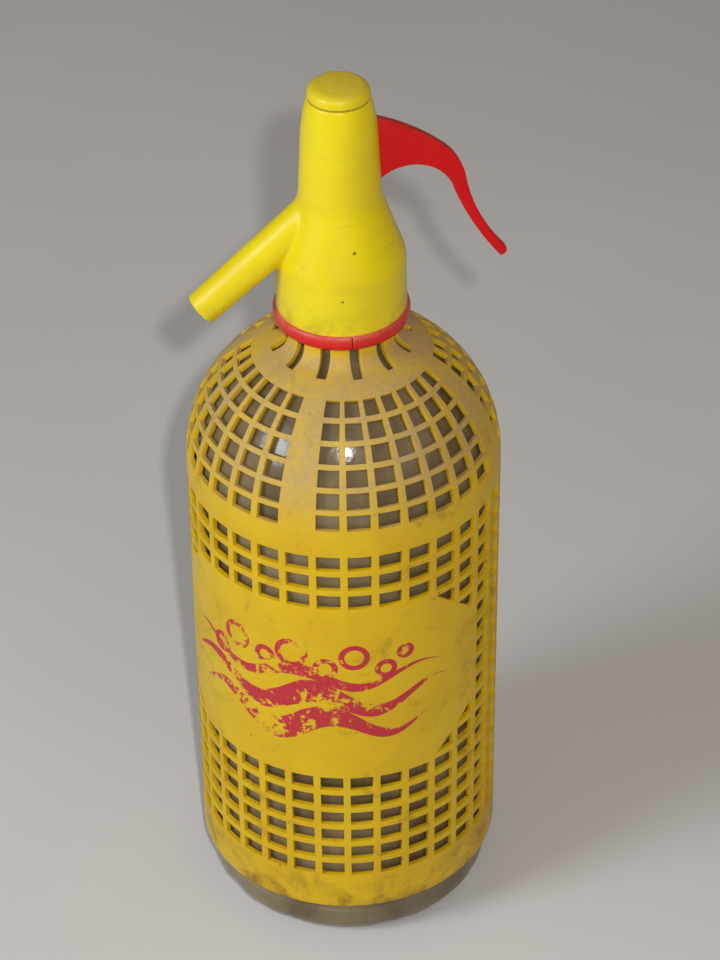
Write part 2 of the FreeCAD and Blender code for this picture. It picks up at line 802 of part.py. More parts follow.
def valve_piston():
    """Plate, stem, a yoke with a window for the lever's tongue, and a peg for the spring."""
    hole = screw_radius + running_gap
    hole_top = disc_foot + screw_length + seating_gap
    outline = [
        (hole, plate_foot),
        (disc_radius, plate_foot),
        (disc_radius, plate_foot + disc_plate_thickness),
        (stem_radius, plate_foot + disc_plate_thickness),
        (stem_radius, yoke_foot),
        (yoke_radius, yoke_foot),
        (yoke_radius, yoke_top),
        (spring_peg_radius, yoke_top),
        (spring_peg_radius, yoke_top + spring_peg_height),
        (nothing, yoke_top + spring_peg_height),
        (nothing, hole_top),
        (hole, hole_top),
    ]
    body = turned_piece("valve_piston", outline)
    across = yoke_radius + free_gap
    window = box_outline(
        -across, across, pin_height - tongue_radius - valve_lift, pin_height + tongue_radius + seating_gap * 2
    )
    extrude(body, "tongue_window", [window], slot_breadth, kind="PartDesign::Pocket")
    return body


def stem_packing():
    low = packing_foot + running_gap
    return turned_piece(
        "stem_packing", box_outline(stem_radius + running_gap, packing_radius, low, packing_foot + packing_height)
    )


def guide_bush():
    """The bush dropped into the barrel: guides the yoke, holds the lever's pin and is slotted for the lever."""
    body = new_body("guide_bush")
    inner = yoke_radius + running_gap * 2
    outline = [
        (stem_radius + free_gap, guide_foot),
        (guide_radius, guide_foot),
        (guide_radius, guide_top),
        (inner, guide_top),
        (inner, guide_floor),
        (stem_radius + free_gap, guide_floor),
    ]
    turn(body, "guide_bush_form", [outline])
    window = [
        (nothing, guide_floor),
        (slot_inner_reach, guide_floor),
        (slot_inner_reach, guide_foot - free_gap),
        (guide_radius * 2, guide_foot - free_gap),
        (guide_radius * 2, slot_top),
        (nothing, slot_top),
    ]
    extrude(body, "guide_slot", [window], slot_breadth, kind="PartDesign::Pocket")
    holes = [((pin_reach, pin_height), pin_radius + running_gap)]
    extrude(body, "pin_hole", [], guide_radius * 3, kind="PartDesign::Pocket", circles=holes)
    return body


def spring_washer():
    low = yoke_top + running_gap
    inner = spring_peg_radius + seating_gap
    outer = spring_radius + spring_wire / 2 + seating_gap * 2
    return turned_piece("spring_washer", box_outline(inner, outer, low, low + spring_washer_thickness))


def valve_spring():
    """The spring's own space between the washer and the cap: its coils are hidden and stay a plain sleeve."""
    inner = spring_radius - spring_wire / 2
    outer = spring_radius + spring_wire / 2
    return turned_piece("valve_spring", box_outline(inner, outer, spring_foot + seating_gap * 2, spring_top - seating_gap))


def lever():
    """The red lever: hub on the pin, tongue in the piston's yoke, broad root and a long curved tail."""
    body = new_body("lever")
    tongue_top = pin_height + tongue_radius
    tongue_foot = pin_height - tongue_radius
    outline = [
        (nothing, tongue_foot),
        (pin_reach - hub_reach, tongue_foot),
        (pin_reach + root_bottom_reach, pin_height - root_bottom_drop, arc(belly_round, -1)),
        (pin_reach + belly_bend_reach, pin_height - belly_bend_drop, arc(belly_knuckle_round, -1)),
        (pin_reach + belly_fall_reach, pin_height - belly_fall_drop, arc(belly_tail_round, 1)),
        (pin_reach + tip_bottom_reach, pin_height - tip_bottom_drop, arc(tip_round, 1)),
        (pin_reach + tip_top_reach, pin_height - tip_top_drop, arc(tail_round, -1)),
        (pin_reach + back_fall_reach, pin_height - back_fall_drop, arc(knuckle_round, 1)),
        (pin_reach + back_bend_reach, pin_height - back_bend_drop, arc(back_round, 1)),
        (pin_reach + root_top_reach, pin_height + root_top_rise),
        (pin_reach - hub_reach, tongue_top),
        (nothing, tongue_top, arc(tongue_end_round, 1)),
    ]
    hole = [((pin_reach, pin_height), pin_radius + running_gap)]
    extrude(body, "lever_plate", [outline], lever_thickness, circles=hole)
    return body


def lever_pin():
    pin = document.addObject("Part::Cylinder", "lever_pin")
    pin.Label = "lever_pin"
    pin.setExpression("Radius", pin_radius.text)
    pin.setExpression("Height", pin_length.text)
    pin.Placement = Placement(ORIGIN, Rotation(Vector(1, 0, 0), -90))
    pin.setExpression("Placement.Base.x", pin_reach.text)
    pin.setExpression("Placement.Base.y", f"0 - {pin_length.text} / 2")
    pin.setExpression("Placement.Base.z", pin_height.text)
    return pin


def cap_washer():
    low = barrel_top_height + running_gap
    high = cap_flange_foot - running_gap
    return turned_piece("cap_washer", box_outline(barrel_bore, cap_radius - seating_gap, low, high))


def top_cap():
    """The domed cap: a spigot screwed into the barrel, hollowed for the top of the spring."""
    crown = (cap_radius - cap_crown_radius, cap_flange_foot + cap_wall_height)
    spigot = barrel_bore - seating_gap
    recess = spring_radius + spring_wire / 2 + free_gap
    crown_rise = cap_height - cap_wall_height - cap_peak
    outline = [(recess, cap_spigot_foot), (spigot, cap_spigot_foot), (spigot, cap_flange_foot)]
    outline += [(cap_radius, cap_flange_foot)]
    outline += facets(crown, cap_crown_radius, [0, 18, 36, 54, 72, 90], crown_rise)
    outline += [(nothing, cap_flange_foot + cap_height), (nothing, spring_top), (recess, spring_top)]
    return turned_piece("top_cap", outline)


pieces = [
    glass_bottle(),
    mesh_cover(),
    collar_half("collar_half_front", 180.0),
    collar_half("collar_half_back", 0.0),
    mouth_gasket(),
    seat_insert(),
    seat_washer(),
    tube_bush(),
    dip_tube(),
    head_body(),
    valve_disc(),
    disc_screw(),
    valve_piston(),
    stem_packing(),
    guide_bush(),
    spring_washer(),
    valve_spring(),
    lever(),
    lever_pin(),
    cap_washer(),
    top_cap(),
]

document.recompute()

for item in document.Objects:
    if "Invalid" in item.State or "Error" in item.State:
        raise RuntimeError(f"{item.Label} failed: {item.State}")

os.makedirs(PARTS, exist_ok=True)
for piece in pieces:
    shape = piece.Shape
    if shape.isNull() or not shape.isValid():
        raise RuntimeError(f"{piece.Label} has no valid shape")
for piece in pieces:
    piece.Shape.exportStep(f"{PARTS}/{piece.Label}.step")
    print(f"{piece.Label}: {len(piece.Shape.Solids)} solid, {piece.Shape.Volume:.1f} mm3")
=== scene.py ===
"""Looks of the soda siphon: every visible piece, its finish, the light and the camera.

Lengths are metres in the part's own frame: +Z up, lever towards +X, spout towards -X.
"""

import math

import bmesh
import bpy
import numpy as np
from mathutils import Matrix, Vector, noise


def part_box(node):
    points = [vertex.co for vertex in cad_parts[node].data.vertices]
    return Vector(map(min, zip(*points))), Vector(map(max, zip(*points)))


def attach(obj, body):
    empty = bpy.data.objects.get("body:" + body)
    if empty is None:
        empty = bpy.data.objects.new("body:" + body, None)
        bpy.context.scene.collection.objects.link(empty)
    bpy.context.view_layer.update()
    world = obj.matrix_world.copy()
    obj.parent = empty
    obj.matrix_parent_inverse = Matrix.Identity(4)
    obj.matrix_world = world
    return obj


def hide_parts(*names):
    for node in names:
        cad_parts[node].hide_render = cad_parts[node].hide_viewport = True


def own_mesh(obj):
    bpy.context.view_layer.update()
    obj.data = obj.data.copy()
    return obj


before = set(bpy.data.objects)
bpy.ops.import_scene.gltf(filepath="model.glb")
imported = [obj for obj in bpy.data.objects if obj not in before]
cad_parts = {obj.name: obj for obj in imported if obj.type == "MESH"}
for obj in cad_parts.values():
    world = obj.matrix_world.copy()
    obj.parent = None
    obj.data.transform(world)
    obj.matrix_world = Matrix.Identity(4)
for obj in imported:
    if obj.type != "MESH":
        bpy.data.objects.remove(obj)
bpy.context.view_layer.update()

MM = 0.001
SHELL = "siphon"

# Places read from the frame
COVER_LOW, COVER_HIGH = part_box("mesh_cover")
HEAD_LOW, HEAD_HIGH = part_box("head_body")
COVER_RADIUS = COVER_HIGH.y
COVER_BOTTOM = COVER_LOW.z
COVER_TOP = COVER_HIGH.z
HEAD_FOOT = HEAD_LOW.z
HEAD_TOP = HEAD_HIGH.z

# The cover's grille
COVER_WALL = 1.7 * MM
BAR_ROUNDING = 0.62 * MM
SHOULDER_HEIGHT = 185.0 * MM
DOME_RADIUS = 50.0 * MM
DOME_CENTRE = COVER_RADIUS - DOME_RADIUS
NECK_RADIUS = 18.6 * MM
NECK_FILLET = 6.4 * MM
COLUMNS = 32
ROWS = 18
GAP_ANGLE = 8.6
GAP_RISE = 5.9 * MM
ROW_PITCH = 8.235 * MM
LOWEST_ROW = 36.9 * MM
DOME_ROWS = 6
DOME_FIRST_ANGLE = 9.8
DOME_ROW_ANGLE = 8.9
RIB_DIRECTION = 240.3
RIBS = 4
PANEL_COLUMNS = 13
PANEL_ROWS = 9
PANEL_FIRST_ROW = 6
SLANT_COLUMNS = 2
SLANT_DROP = 17.6 * MM
SLOTS = 12
SLOT_WIDTH = 3.4 * MM
SLOT_REACH = 24.2 * MM
SLOT_HOOP = 1.4 * MM
PITCH_ANGLE = 360.0 / COLUMNS
PANEL_MIDDLE = LOWEST_ROW + (PANEL_FIRST_ROW + (PANEL_ROWS - 1) / 2) * ROW_PITCH

# The glass bottle
GLASS_WALL = 5.0 * MM
GLASS_HEEL = 9.0 * MM
GLASS_DOME = 47.4 * MM
GLASS_NECK = 16.0 * MM
GLASS_FILLET = 9.0 * MM
GLASS_BORE = 10.5 * MM
BEAD_RADIUS = 17.7 * MM
BEAD_ROUND = 1.2 * MM
BEAD_DEPTH = 3.3 * MM
BEAD_FOOT_DEPTH = 5.0 * MM
FOOT_RING_INSIDE = 36.4 * MM
FOOT_RING_LIP = 37.4 * MM
FOOT_RING_FLAT = 38.2 * MM
FOOT_RING_ROUND = 0.2 * MM
FOOT_HOLLOW = 1.5 * MM
GLASS_FLOOR = 8.0 * MM
INNER_HEEL_HEIGHT = 12.0 * MM

# Dents worn into the glass foot
FOOT_DENTS = 1.6 * MM
DENTED_HEIGHT = 14.0 * MM
DENTED_RADIUS = 36.0 * MM
DENT_SCALE = 140.0
FINE_DENT_SCALE = 420.0
FINE_DENT_SHARE = 0.4

# The cap
CAP_FOOT = 324.5 * MM
CAP_EDGE = 0.3 * MM
CAP_WALL_RISE = 1.5 * MM
CAP_ROUND_REACH = 3.6 * MM
CAP_ROUND_RISE = 2.8 * MM
CAP_CROWN_REACH = 3.5 * MM
CAP_CROWN_RISE = 4.7 * MM
CAP_RISE = 4.9 * MM
SPIGOT_RADIUS = 8.5 * MM
SPIGOT_BORE = 4.3 * MM
SPIGOT_BORE_DEPTH = 3.0 * MM

# The valve's spring
SPRING_WIRE = 0.5 * MM
SPRING_TURNS = 6
SPRING_STEPS = 28
WIRE_CORNERS = 8

# The head moulding
SPOUT_ANGLE = math.radians(40.3)
SPOUT_RISE = 290.5 * MM
SPOUT_LENGTH = 62.2 * MM
SPOUT_TIP_RADIUS = 5.85 * MM
SPOUT_ROOT_RADIUS = 6.7 * MM
SPOUT_MOUTH_RADIUS = 3.2 * MM
SPOUT_BLEND = 1.5 * MM
BARREL_BORE = 8.6 * MM
GUIDE_FOOT = 293.5 * MM
SLOT_LOW = 290.4 * MM
SLOT_HIGH = 316.4 * MM
LEVER_SLOT = 3.8 * MM
SLOT_INSIDE = 8.3 * MM
SLOT_OUTSIDE = 20 * MM
SKIRT_BORE = 19.2 * MM
SKIRT_BORE_TOP = 258 * MM
SKIRT_FOOT = 21.6 * MM
SKIRT_EDGE = (21.9 * MM, HEAD_FOOT + 0.4 * MM)
SKIRT_TOP = (21.5 * MM, 263.0 * MM)
CONE_FOOT = (20.7 * MM, 268.2 * MM)
CONE_TOP = (14.45 * MM, 285.7 * MM)
BARREL_FOOT = (13.6 * MM, 290.0 * MM)
BARREL_SHOULDER = (12.6 * MM, 309.8 * MM)
BARREL_RIM = (10.4 * MM, HEAD_TOP)
SKIRT_BEND = 10.0 * MM
WAIST_BEND = 14.0 * MM
BARREL_BEND = 60.0 * MM
MOUTH_DEPTH = 20 * MM
SPOUT_EDGE = 0.9 * MM
SKIN_GRAIN = 0.55 * MM
OVERCUT = 0.002


def link(name, mesh):
    """A new object for a mesh."""
    piece = bpy.data.objects.new(name, mesh)
    bpy.context.scene.collection.objects.link(piece)
    return piece


def shade_smooth(mesh, angle=35.0):
    """Smooth faces, with edges sharper than an angle kept crisp."""
    mesh.polygons.foreach_set("use_smooth", [True] * len(mesh.polygons))
    work = bmesh.new()
    work.from_mesh(mesh)
    limit = math.radians(angle)
    for edge in work.edges:
        edge.smooth = len(edge.link_faces) == 2 and edge.calc_face_angle(0.0) < limit
    work.to_mesh(mesh)
    work.free()


def settle_modifiers(piece):
    """Replace the piece's mesh by what its modifiers make of it."""
    graph = bpy.context.evaluated_depsgraph_get()
    mesh = bpy.data.meshes.new_from_object(piece.evaluated_get(graph), depsgraph=graph)
    piece.modifiers.clear()
    piece.data = mesh
    return piece


def round_edges(piece, width, segments=2, angle=32.0):
    """Round every sharp edge by a small radius."""
    bevel = piece.modifiers.new("rounding", "BEVEL")
    bevel.width = width
    bevel.segments = segments
    bevel.limit_method = "ANGLE"
    bevel.angle_limit = math.radians(angle)
    bevel.use_clamp_overlap = True
    settle_modifiers(piece)
    shade_smooth(piece.data)
    return piece


def finish_piece(piece, body, slot_name, material, *nodes):
    """Material, body and the CAD nodes that the piece stands for; the slot name is not used."""
    piece.data.materials.clear()
    piece.data.materials.append(material)
    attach(piece, body)
    if nodes:
        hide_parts(*nodes)
    return piece


def dressed_copy(node, name, width, segments=2):
    """A CAD node's own form with its flat facets joined and its edges rounded."""
    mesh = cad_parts[node].data.copy()
    mesh.name = name
    work = bmesh.new()
    work.from_mesh(mesh)
    bmesh.ops.remove_doubles(work, verts=work.verts, dist=2e-6)
    bmesh.ops.dissolve_limit(
        work, angle_limit=math.radians(0.4), verts=work.verts, edges=work.edges, delimit=set()
    )
    bmesh.ops.recalc_face_normals(work, faces=work.faces)
    work.to_mesh(mesh)
    work.free()
    piece = link(name, mesh)
    if width:
        round_edges(piece, width, segments)
    else:
        shade_smooth(piece.data)
    return piece


def arc_between(start, end, radius, side, count):
    """Points after start up to end on an arc, with its centre to the left (1) or right (-1)."""
    a, b = np.array(start), np.array(end)
    chord = b - a
    length = np.linalg.norm(chord)
    left = np.array([-chord[1], chord[0]]) / length
    centre = (a + b) / 2 + left * side * math.sqrt(max(radius**2 - length**2 / 4, 0.0))
    first = math.atan2(*(a - centre)[::-1])
    sweep = math.atan2(*(b - centre)[::-1]) - first
    sweep = (sweep + math.pi) % (2 * math.pi) - math.pi
    turned = [first + sweep * (step + 1) / count for step in range(count)]
    return [tuple(centre + radius * np.array([math.cos(t), math.sin(t)])) for t in turned]


def turned_mesh(name, outline, segments=96):
    """A closed outline of radius and height pairs, turned about the upright axis."""
    work = bmesh.new()
    rings = []
    for radius, height in outline:
        if radius < 1e-7:
            rings.append([work.verts.new((0, 0, height))])
            continue
        turn = [2 * math.pi * step / segments for step in range(segments)]
        rings.append([work.verts.new((radius * math.cos(t), radius * math.sin(t), height)) for t in turn])
    for low, high in zip(rings, rings[1:]):
        for step in range(segments):
            after = (step + 1) % segments
            foot = [low[step % len(low)], low[after % len(low)]]
            head = [high[after % len(high)], high[step % len(high)]]
            unique = list(dict.fromkeys(foot + head))
            if len(unique) > 2:
                work.faces.new(unique)
    bmesh.ops.recalc_face_normals(work, faces=work.faces)
    mesh = bpy.data.meshes.new(name)
    work.to_mesh(mesh)
    work.free()
    return mesh


# Mesh cover


def neck_meet():
    """Where the dome's surface runs into the fillet at the neck, and the fillet's centre."""
    across = NECK_RADIUS + NECK_FILLET - DOME_CENTRE
    reach = DOME_RADIUS + NECK_FILLET
    rise = math.sqrt(reach**2 - across**2)
    return math.atan2(rise, across), SHOULDER_HEIGHT + rise


def cover_profile(run):
    """Radius and height of the cover's outside at a length up its profile; the wall's run is its height."""
    if run <= SHOULDER_HEIGHT:
        return COVER_RADIUS, run
    meet, fillet_height = neck_meet()
    lean = (run - SHOULDER_HEIGHT) / DOME_RADIUS
    if lean <= meet:
        radius = DOME_CENTRE + DOME_RADIUS * math.cos(lean)
        return radius, SHOULDER_HEIGHT + DOME_RADIUS * math.sin(lean)
    past = (run - SHOULDER_HEIGHT - DOME_RADIUS * meet) / NECK_FILLET
    if past <= meet:
        turned = meet - past
        radius = NECK_RADIUS + NECK_FILLET - NECK_FILLET * math.cos(turned)
        return radius, fillet_height - NECK_FILLET * math.sin(turned)
    return NECK_RADIUS, fillet_height + (past - meet) * NECK_FILLET


def run_at_lean(degrees):
    """Length up the profile to an angle on the dome."""
    return SHOULDER_HEIGHT + DOME_RADIUS * math.radians(degrees)


def panel_offset(column):
    """How many columns a column lies from the middle of its label panel."""
    half = COLUMNS // 2
    return (column + half // 2) % half - half // 2


def slant_edge(offset):
    """Half the label panel's height at an angle from its middle."""
    level = (PANEL_COLUMNS / 2 - SLANT_COLUMNS) * PITCH_ANGLE
    beyond = max(abs(offset) - level, 0.0) / (SLANT_COLUMNS * PITCH_ANGLE)
    return PANEL_ROWS * ROW_PITCH / 2 - beyond * SLANT_DROP


def gap_state(column, row):
    """Whether a wall gap is open, shut or cut by the panel's slanted edge."""
    offset = panel_offset(column)
    rows_off = row - (PANEL_FIRST_ROW + (PANEL_ROWS - 1) / 2)
    if abs(offset) > PANEL_COLUMNS // 2 or abs(rows_off) > PANEL_ROWS / 2:
        return "open"
    if abs(offset) <= PANEL_COLUMNS // 2 - SLANT_COLUMNS:
        return "shut"
    half_angle = GAP_ANGLE / 2
    edges = [slant_edge(abs(offset) * PITCH_ANGLE + turn) for turn in (-half_angle, half_angle)]
    near = abs(rows_off) * ROW_PITCH - GAP_RISE / 2
    far = near + GAP_RISE
    if near >= max(edges):
        return "open"
    if far <= min(edges) + 0.0004:
        return "shut"
    return "cut"


def cover_sheet():
    """The wall and dome as a flat sheet of angle and run, with its gaps left out."""
    turns = []
    for column in range(COLUMNS):
        middle = column * PITCH_ANGLE
        turns += [middle - GAP_ANGLE / 2, middle, middle + GAP_ANGLE / 2]
    turns.append(turns[0] + 360.0)
    runs = [COVER_BOTTOM, COVER_BOTTOM + 0.004, COVER_BOTTOM + 0.010]
    for row in range(ROWS):
        middle = LOWEST_ROW + row * ROW_PITCH
        runs += [middle - GAP_RISE / 2, middle + GAP_RISE / 2]
    runs.append(SHOULDER_HEIGHT)
    half = math.degrees(GAP_RISE / 2 / DOME_RADIUS)
    for row in range(DOME_ROWS):
        lean = DOME_FIRST_ANGLE + row * DOME_ROW_ANGLE
        runs += [run_at_lean(lean - half), run_at_lean(lean + half)]
    runs.append(run_at_lean(60.0))
    work = bmesh.new()
    opened = work.faces.layers.int.new("opened")
    grid = [[work.verts.new((turn * MM, run, 0)) for run in runs] for turn in turns]
    gap_rows = {3 + 2 * row: ("wall", row) for row in range(ROWS)}
    gap_rows.update({3 + 2 * ROWS + 1 + 2 * row: ("dome", row) for row in range(DOME_ROWS)})
    cuts = []
    for i in range(len(turns) - 1):
        column, part = divmod(i, 3)
        for j in range(len(runs) - 1):
            face = work.faces.new([grid[i][j], grid[i + 1][j], grid[i + 1][j + 1], grid[i][j + 1]])
            if part == 2 or j not in gap_rows:
                continue
            kind, row = gap_rows[j]
            if kind == "dome":
                state = "shut" if column % (COLUMNS // RIBS) == 0 else "open"
            else:
                state = gap_state(column, row)
            if state == "open":
                face[opened] = 1
            elif state == "cut":
                cuts.append((face, column, row))
    return work, cuts


def open_slanted_gaps(work, cuts):
    """Split the gaps that the label panel's slanted edge crosses, and mark what lies outside the panel."""
    opened = work.faces.layers.int["opened"]
    groups = {}
    for face, column, row in cuts:
        groups.setdefault((column, row), []).append(face)
    for (column, row), faces in groups.items():
        offset = panel_offset(column)
        sign = 1 if row > PANEL_FIRST_ROW + PANEL_ROWS // 2 else -1
        side = 1 if offset > 0 else -1
        middle = column * PITCH_ANGLE
        half = GAP_ANGLE / 2
        near = abs(offset) * PITCH_ANGLE - half
        inner_end = (middle - side * half, slant_edge(near))
        outer_end = (middle + side * half, slant_edge(near + GAP_ANGLE))
        ends = (inner_end, outer_end)
        points = [Vector((turn * MM, PANEL_MIDDLE + sign * edge, 0)) for turn, edge in ends]
        along = points[1] - points[0]
        normal = Vector((-along.y, along.x, 0)).normalized()
        if normal.y * sign < 0:
            normal.negate()
        edges = list({edge for face in faces for edge in face.edges})
        verts = list({vert for face in faces for vert in face.verts})
        centre = sum((face.calc_center_median() for face in faces), Vector()) / len(faces)
        done = bmesh.ops.bisect_plane(
            work, geom=faces + edges + verts, dist=1e-7, plane_co=points[0], plane_no=normal
        )
        reach_x = half * MM * 1.01
        for item in done["geom"]:
            if isinstance(item, bmesh.types.BMFace):
                middle_point = item.calc_center_median()
                if abs(middle_point.x - centre.x) < reach_x and (middle_point - points[0]).dot(normal) > 0:
                    if abs(middle_point.y - centre.y) < GAP_RISE / 2:
                        item[opened] = 1


def wrap_cover(work):
    """Bend the flat sheet of angle and run onto the cover's outside."""
    for vert in work.verts:
        radius, height = cover_profile(vert.co.y)
        turn = math.radians(vert.co.x / MM + RIB_DIRECTION)
        vert.co = Vector((radius * math.cos(turn), radius * math.sin(turn), height))
    bmesh.ops.remove_doubles(work, verts=work.verts, dist=1e-6)


def neck_sheet(work):
    """The top of the dome and the neck, with its slots."""
    meet, fillet_height = neck_meet()
    slot_start = SHOULDER_HEIGHT + DOME_RADIUS * math.acos((SLOT_REACH - DOME_CENTRE) / DOME_RADIUS)
    fillet_start = SHOULDER_HEIGHT + DOME_RADIUS * meet
    neck_start = fillet_start + NECK_FILLET * meet
    top = neck_start + COVER_TOP - fillet_height
    slot_end = top - SLOT_HOOP
    runs = [run_at_lean(61.2), run_at_lean(63.5), slot_start, fillet_start]
    steps = 8
    runs += [fillet_start + (neck_start - fillet_start) * (step + 1) / steps for step in range(steps)]
    runs += [slot_end, top]
    pitch = 360.0 / SLOTS
    cells = 8
    rings = []
    for run in runs:
        radius, height = cover_profile(run)
        half = math.degrees(math.asin(SLOT_WIDTH / 2 / radius))
        ring = []
        for index in range(SLOTS):
            middle = index * pitch + RIB_DIRECTION
            land = pitch - 2 * half
            turns = [middle - half, middle]
            turns += [middle + half + land * step / (cells - 2) for step in range(cells - 2)]
            for turn in turns:
                angle = math.radians(turn)
                ring.append(work.verts.new((radius * math.cos(angle), radius * math.sin(angle), height)))
        rings.append(ring)
    for level, (low, high) in enumerate(zip(rings, rings[1:])):
        slotted = slot_start - 1e-9 <= runs[level] < slot_end - 1e-9
        for index in range(len(low)):
            if slotted and index % cells < 2:
                continue
            after = (index + 1) % len(low)
            work.faces.new([low[index], low[after], high[after], high[index]])
    return rings[0]


def make_cover():
    """The plastic cover with its gaps, wall and rounded bars."""
    work, cuts = cover_sheet()
    open_slanted_gaps(work, cuts)
    opened = work.faces.layers.int["opened"]
    bmesh.ops.delete(work, geom=[face for face in work.faces if face[opened]], context="FACES")
    wrap_cover(work)
    dome_edge = [
        edge for edge in work.edges
        if edge.is_boundary and all(v.co.z > cover_profile(run_at_lean(59.9))[1] for v in edge.verts)
    ]
    first_ring = neck_sheet(work)
    ring = set(first_ring)
    neck_edge = [edge for edge in work.edges if edge.verts[0] in ring and edge.verts[1] in ring]
    bmesh.ops.bridge_loops(work, edges=dome_edge + neck_edge)
    loose = [vert for vert in work.verts if not vert.link_faces]
    bmesh.ops.delete(work, geom=loose, context="VERTS")
    bmesh.ops.recalc_face_normals(work, faces=work.faces)
    outward = sum(face.normal.dot(Vector((*face.calc_center_median().xy, 0))) for face in work.faces)
    if outward < 0:
        bmesh.ops.reverse_faces(work, faces=work.faces)
    mesh = bpy.data.meshes.new("grille_cover")
    work.to_mesh(mesh)
    work.free()
    piece = link("grille_cover", mesh)
    wall = piece.modifiers.new("wall", "SOLIDIFY")
    wall.thickness = COVER_WALL
    wall.offset = -1.0
    wall.use_even_offset = True
    settle_modifiers(piece)
    return round_edges(piece, BAR_ROUNDING, 3, 40.0)


# Bottle, cap and spring


def ellipse_points(centre, across, rise, first, last, count):
    """Points on an ellipse from one angle in degrees to another, both included."""
    turns = [math.radians(first + (last - first) * step / count) for step in range(count + 1)]
    return [(centre[0] + across * math.cos(t), centre[1] + rise * math.sin(t)) for t in turns]


def bottle_outline():
    """Half of the bottle's outside and then its inside, from the foot's middle to the floor's."""
    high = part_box("glass_bottle")[1]
    wide, top = high.y, high.z
    centre = wide - GLASS_DOME
    across = GLASS_NECK + GLASS_FILLET - centre
    rise = math.sqrt((GLASS_DOME + GLASS_FILLET) ** 2 - across**2)
    lean = math.degrees(math.atan2(rise, across))
    shoulder = (centre, SHOULDER_HEIGHT)
    neck_foot = (GLASS_NECK + GLASS_FILLET, SHOULDER_HEIGHT + rise)
    outline = [(0.0, FOOT_HOLLOW), (FOOT_RING_INSIDE, FOOT_HOLLOW)]
    outline += [(FOOT_RING_LIP, FOOT_RING_ROUND), (FOOT_RING_FLAT, 0.0)]
    outline += ellipse_points((wide - GLASS_HEEL, GLASS_HEEL), GLASS_HEEL, GLASS_HEEL, -90, 0, 14)
    outline += [(wide, height * MM) for height in (30, 80, 130)]
    outline += ellipse_points(shoulder, GLASS_DOME, GLASS_DOME, 0, lean, 22)
    outline += ellipse_points(neck_foot, GLASS_FILLET, GLASS_FILLET, 180 + lean, 180, 9)
    outline += [(GLASS_NECK, top - BEAD_FOOT_DEPTH), (BEAD_RADIUS, top - BEAD_DEPTH)]
    bead = (BEAD_RADIUS - BEAD_ROUND, top - BEAD_ROUND)
    outline += ellipse_points(bead, BEAD_ROUND, BEAD_ROUND, 0, 90, 4)
    outline += [(GLASS_BORE, top)]
    inner_dome = GLASS_DOME - GLASS_WALL
    inner_heel = GLASS_HEEL - GLASS_WALL
    inner_lean = math.degrees(math.acos((GLASS_BORE - centre) / inner_dome))
    outline += ellipse_points(shoulder, inner_dome, inner_dome, inner_lean, 0, 20)
    outline += ellipse_points((wide - GLASS_HEEL, INNER_HEEL_HEIGHT), inner_heel, inner_heel, 0, -90, 6)
    outline += [(0.0, GLASS_FLOOR)]
    return outline


def dent_foot(mesh):
    """Press shallow dents into the glass foot, deepest at its lower edge."""
    for vert in mesh.vertices:
        reach = math.hypot(vert.co.x, vert.co.y)
        if reach > DENTED_RADIUS and vert.co.z < DENTED_HEIGHT:
            fine = FINE_DENT_SHARE * noise.noise(vert.co * FINE_DENT_SCALE)
            dents = max(noise.noise(vert.co * DENT_SCALE) + fine, 0.0)
            fade = 1.0 - vert.co.z / DENTED_HEIGHT
            shrink = 1.0 - dents * fade * FOOT_DENTS / reach
            vert.co.x *= shrink
            vert.co.y *= shrink


def make_bottle():
    """The glass bottle: heel and foot ring, straight wall, dome, neck and bead, hollow inside."""
    piece = link("glass_flask", turned_mesh("glass_flask", bottle_outline(), 192))
    dent_foot(piece.data)
    shade_smooth(piece.data, 40.0)
    return piece


def make_cap():
    """The low domed cap with its spigot down in the barrel."""
    low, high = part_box("top_cap")
    rim = high.x
    bore_top = low.z + SPIGOT_BORE_DEPTH
    shoulder = (rim - CAP_ROUND_REACH, CAP_FOOT + CAP_WALL_RISE)
    outline = [(0.0, bore_top), (SPIGOT_BORE, bore_top), (SPIGOT_BORE, low.z), (SPIGOT_RADIUS, low.z)]
    outline += [(SPIGOT_RADIUS, CAP_FOOT), (rim - CAP_EDGE, CAP_FOOT), (rim, CAP_FOOT + CAP_EDGE)]
    outline += ellipse_points(shoulder, CAP_ROUND_REACH, CAP_ROUND_RISE, 0, 82, 12)
    outline += [(CAP_CROWN_REACH, CAP_FOOT + CAP_CROWN_RISE), (0.0, CAP_FOOT + CAP_RISE)]
    piece = link("domed_cap", turned_mesh("domed_cap", outline, 96))
    shade_smooth(piece.data, 40.0)
    return piece


def make_spring():
    """The valve's spring, wound from round wire."""
    low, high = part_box("valve_spring")
    coil = high.x - SPRING_WIRE
    travel = high.z - low.z - 2 * SPRING_WIRE
    steps = SPRING_TURNS * SPRING_STEPS
    work = bmesh.new()
    rings = []
    for step in range(steps + 1):
        turn = 2 * math.pi * step / SPRING_STEPS
        middle = low.z + SPRING_WIRE + travel * step / steps
        ring = []
        for corner in range(WIRE_CORNERS):
            lean = 2 * math.pi * corner / WIRE_CORNERS
            reach = coil + SPRING_WIRE * math.cos(lean)
            height = middle + SPRING_WIRE * math.sin(lean)
            ring.append(work.verts.new((reach * math.cos(turn), reach * math.sin(turn), height)))
        rings.append(ring)
    for near, far in zip(rings, rings[1:]):
        for corner in range(WIRE_CORNERS):
            after = (corner + 1) % WIRE_CORNERS
            work.faces.new([near[corner], near[after], far[after], far[corner]])
    work.faces.new(rings[0])
    work.faces.new(rings[-1][::-1])
    bmesh.ops.recalc_face_normals(work, faces=work.faces)
    mesh = bpy.data.meshes.new("wound_spring")
    work.to_mesh(mesh)
    work.free()
    shade_smooth(mesh, 60.0)
    return link("wound_spring", mesh)


# Head moulding


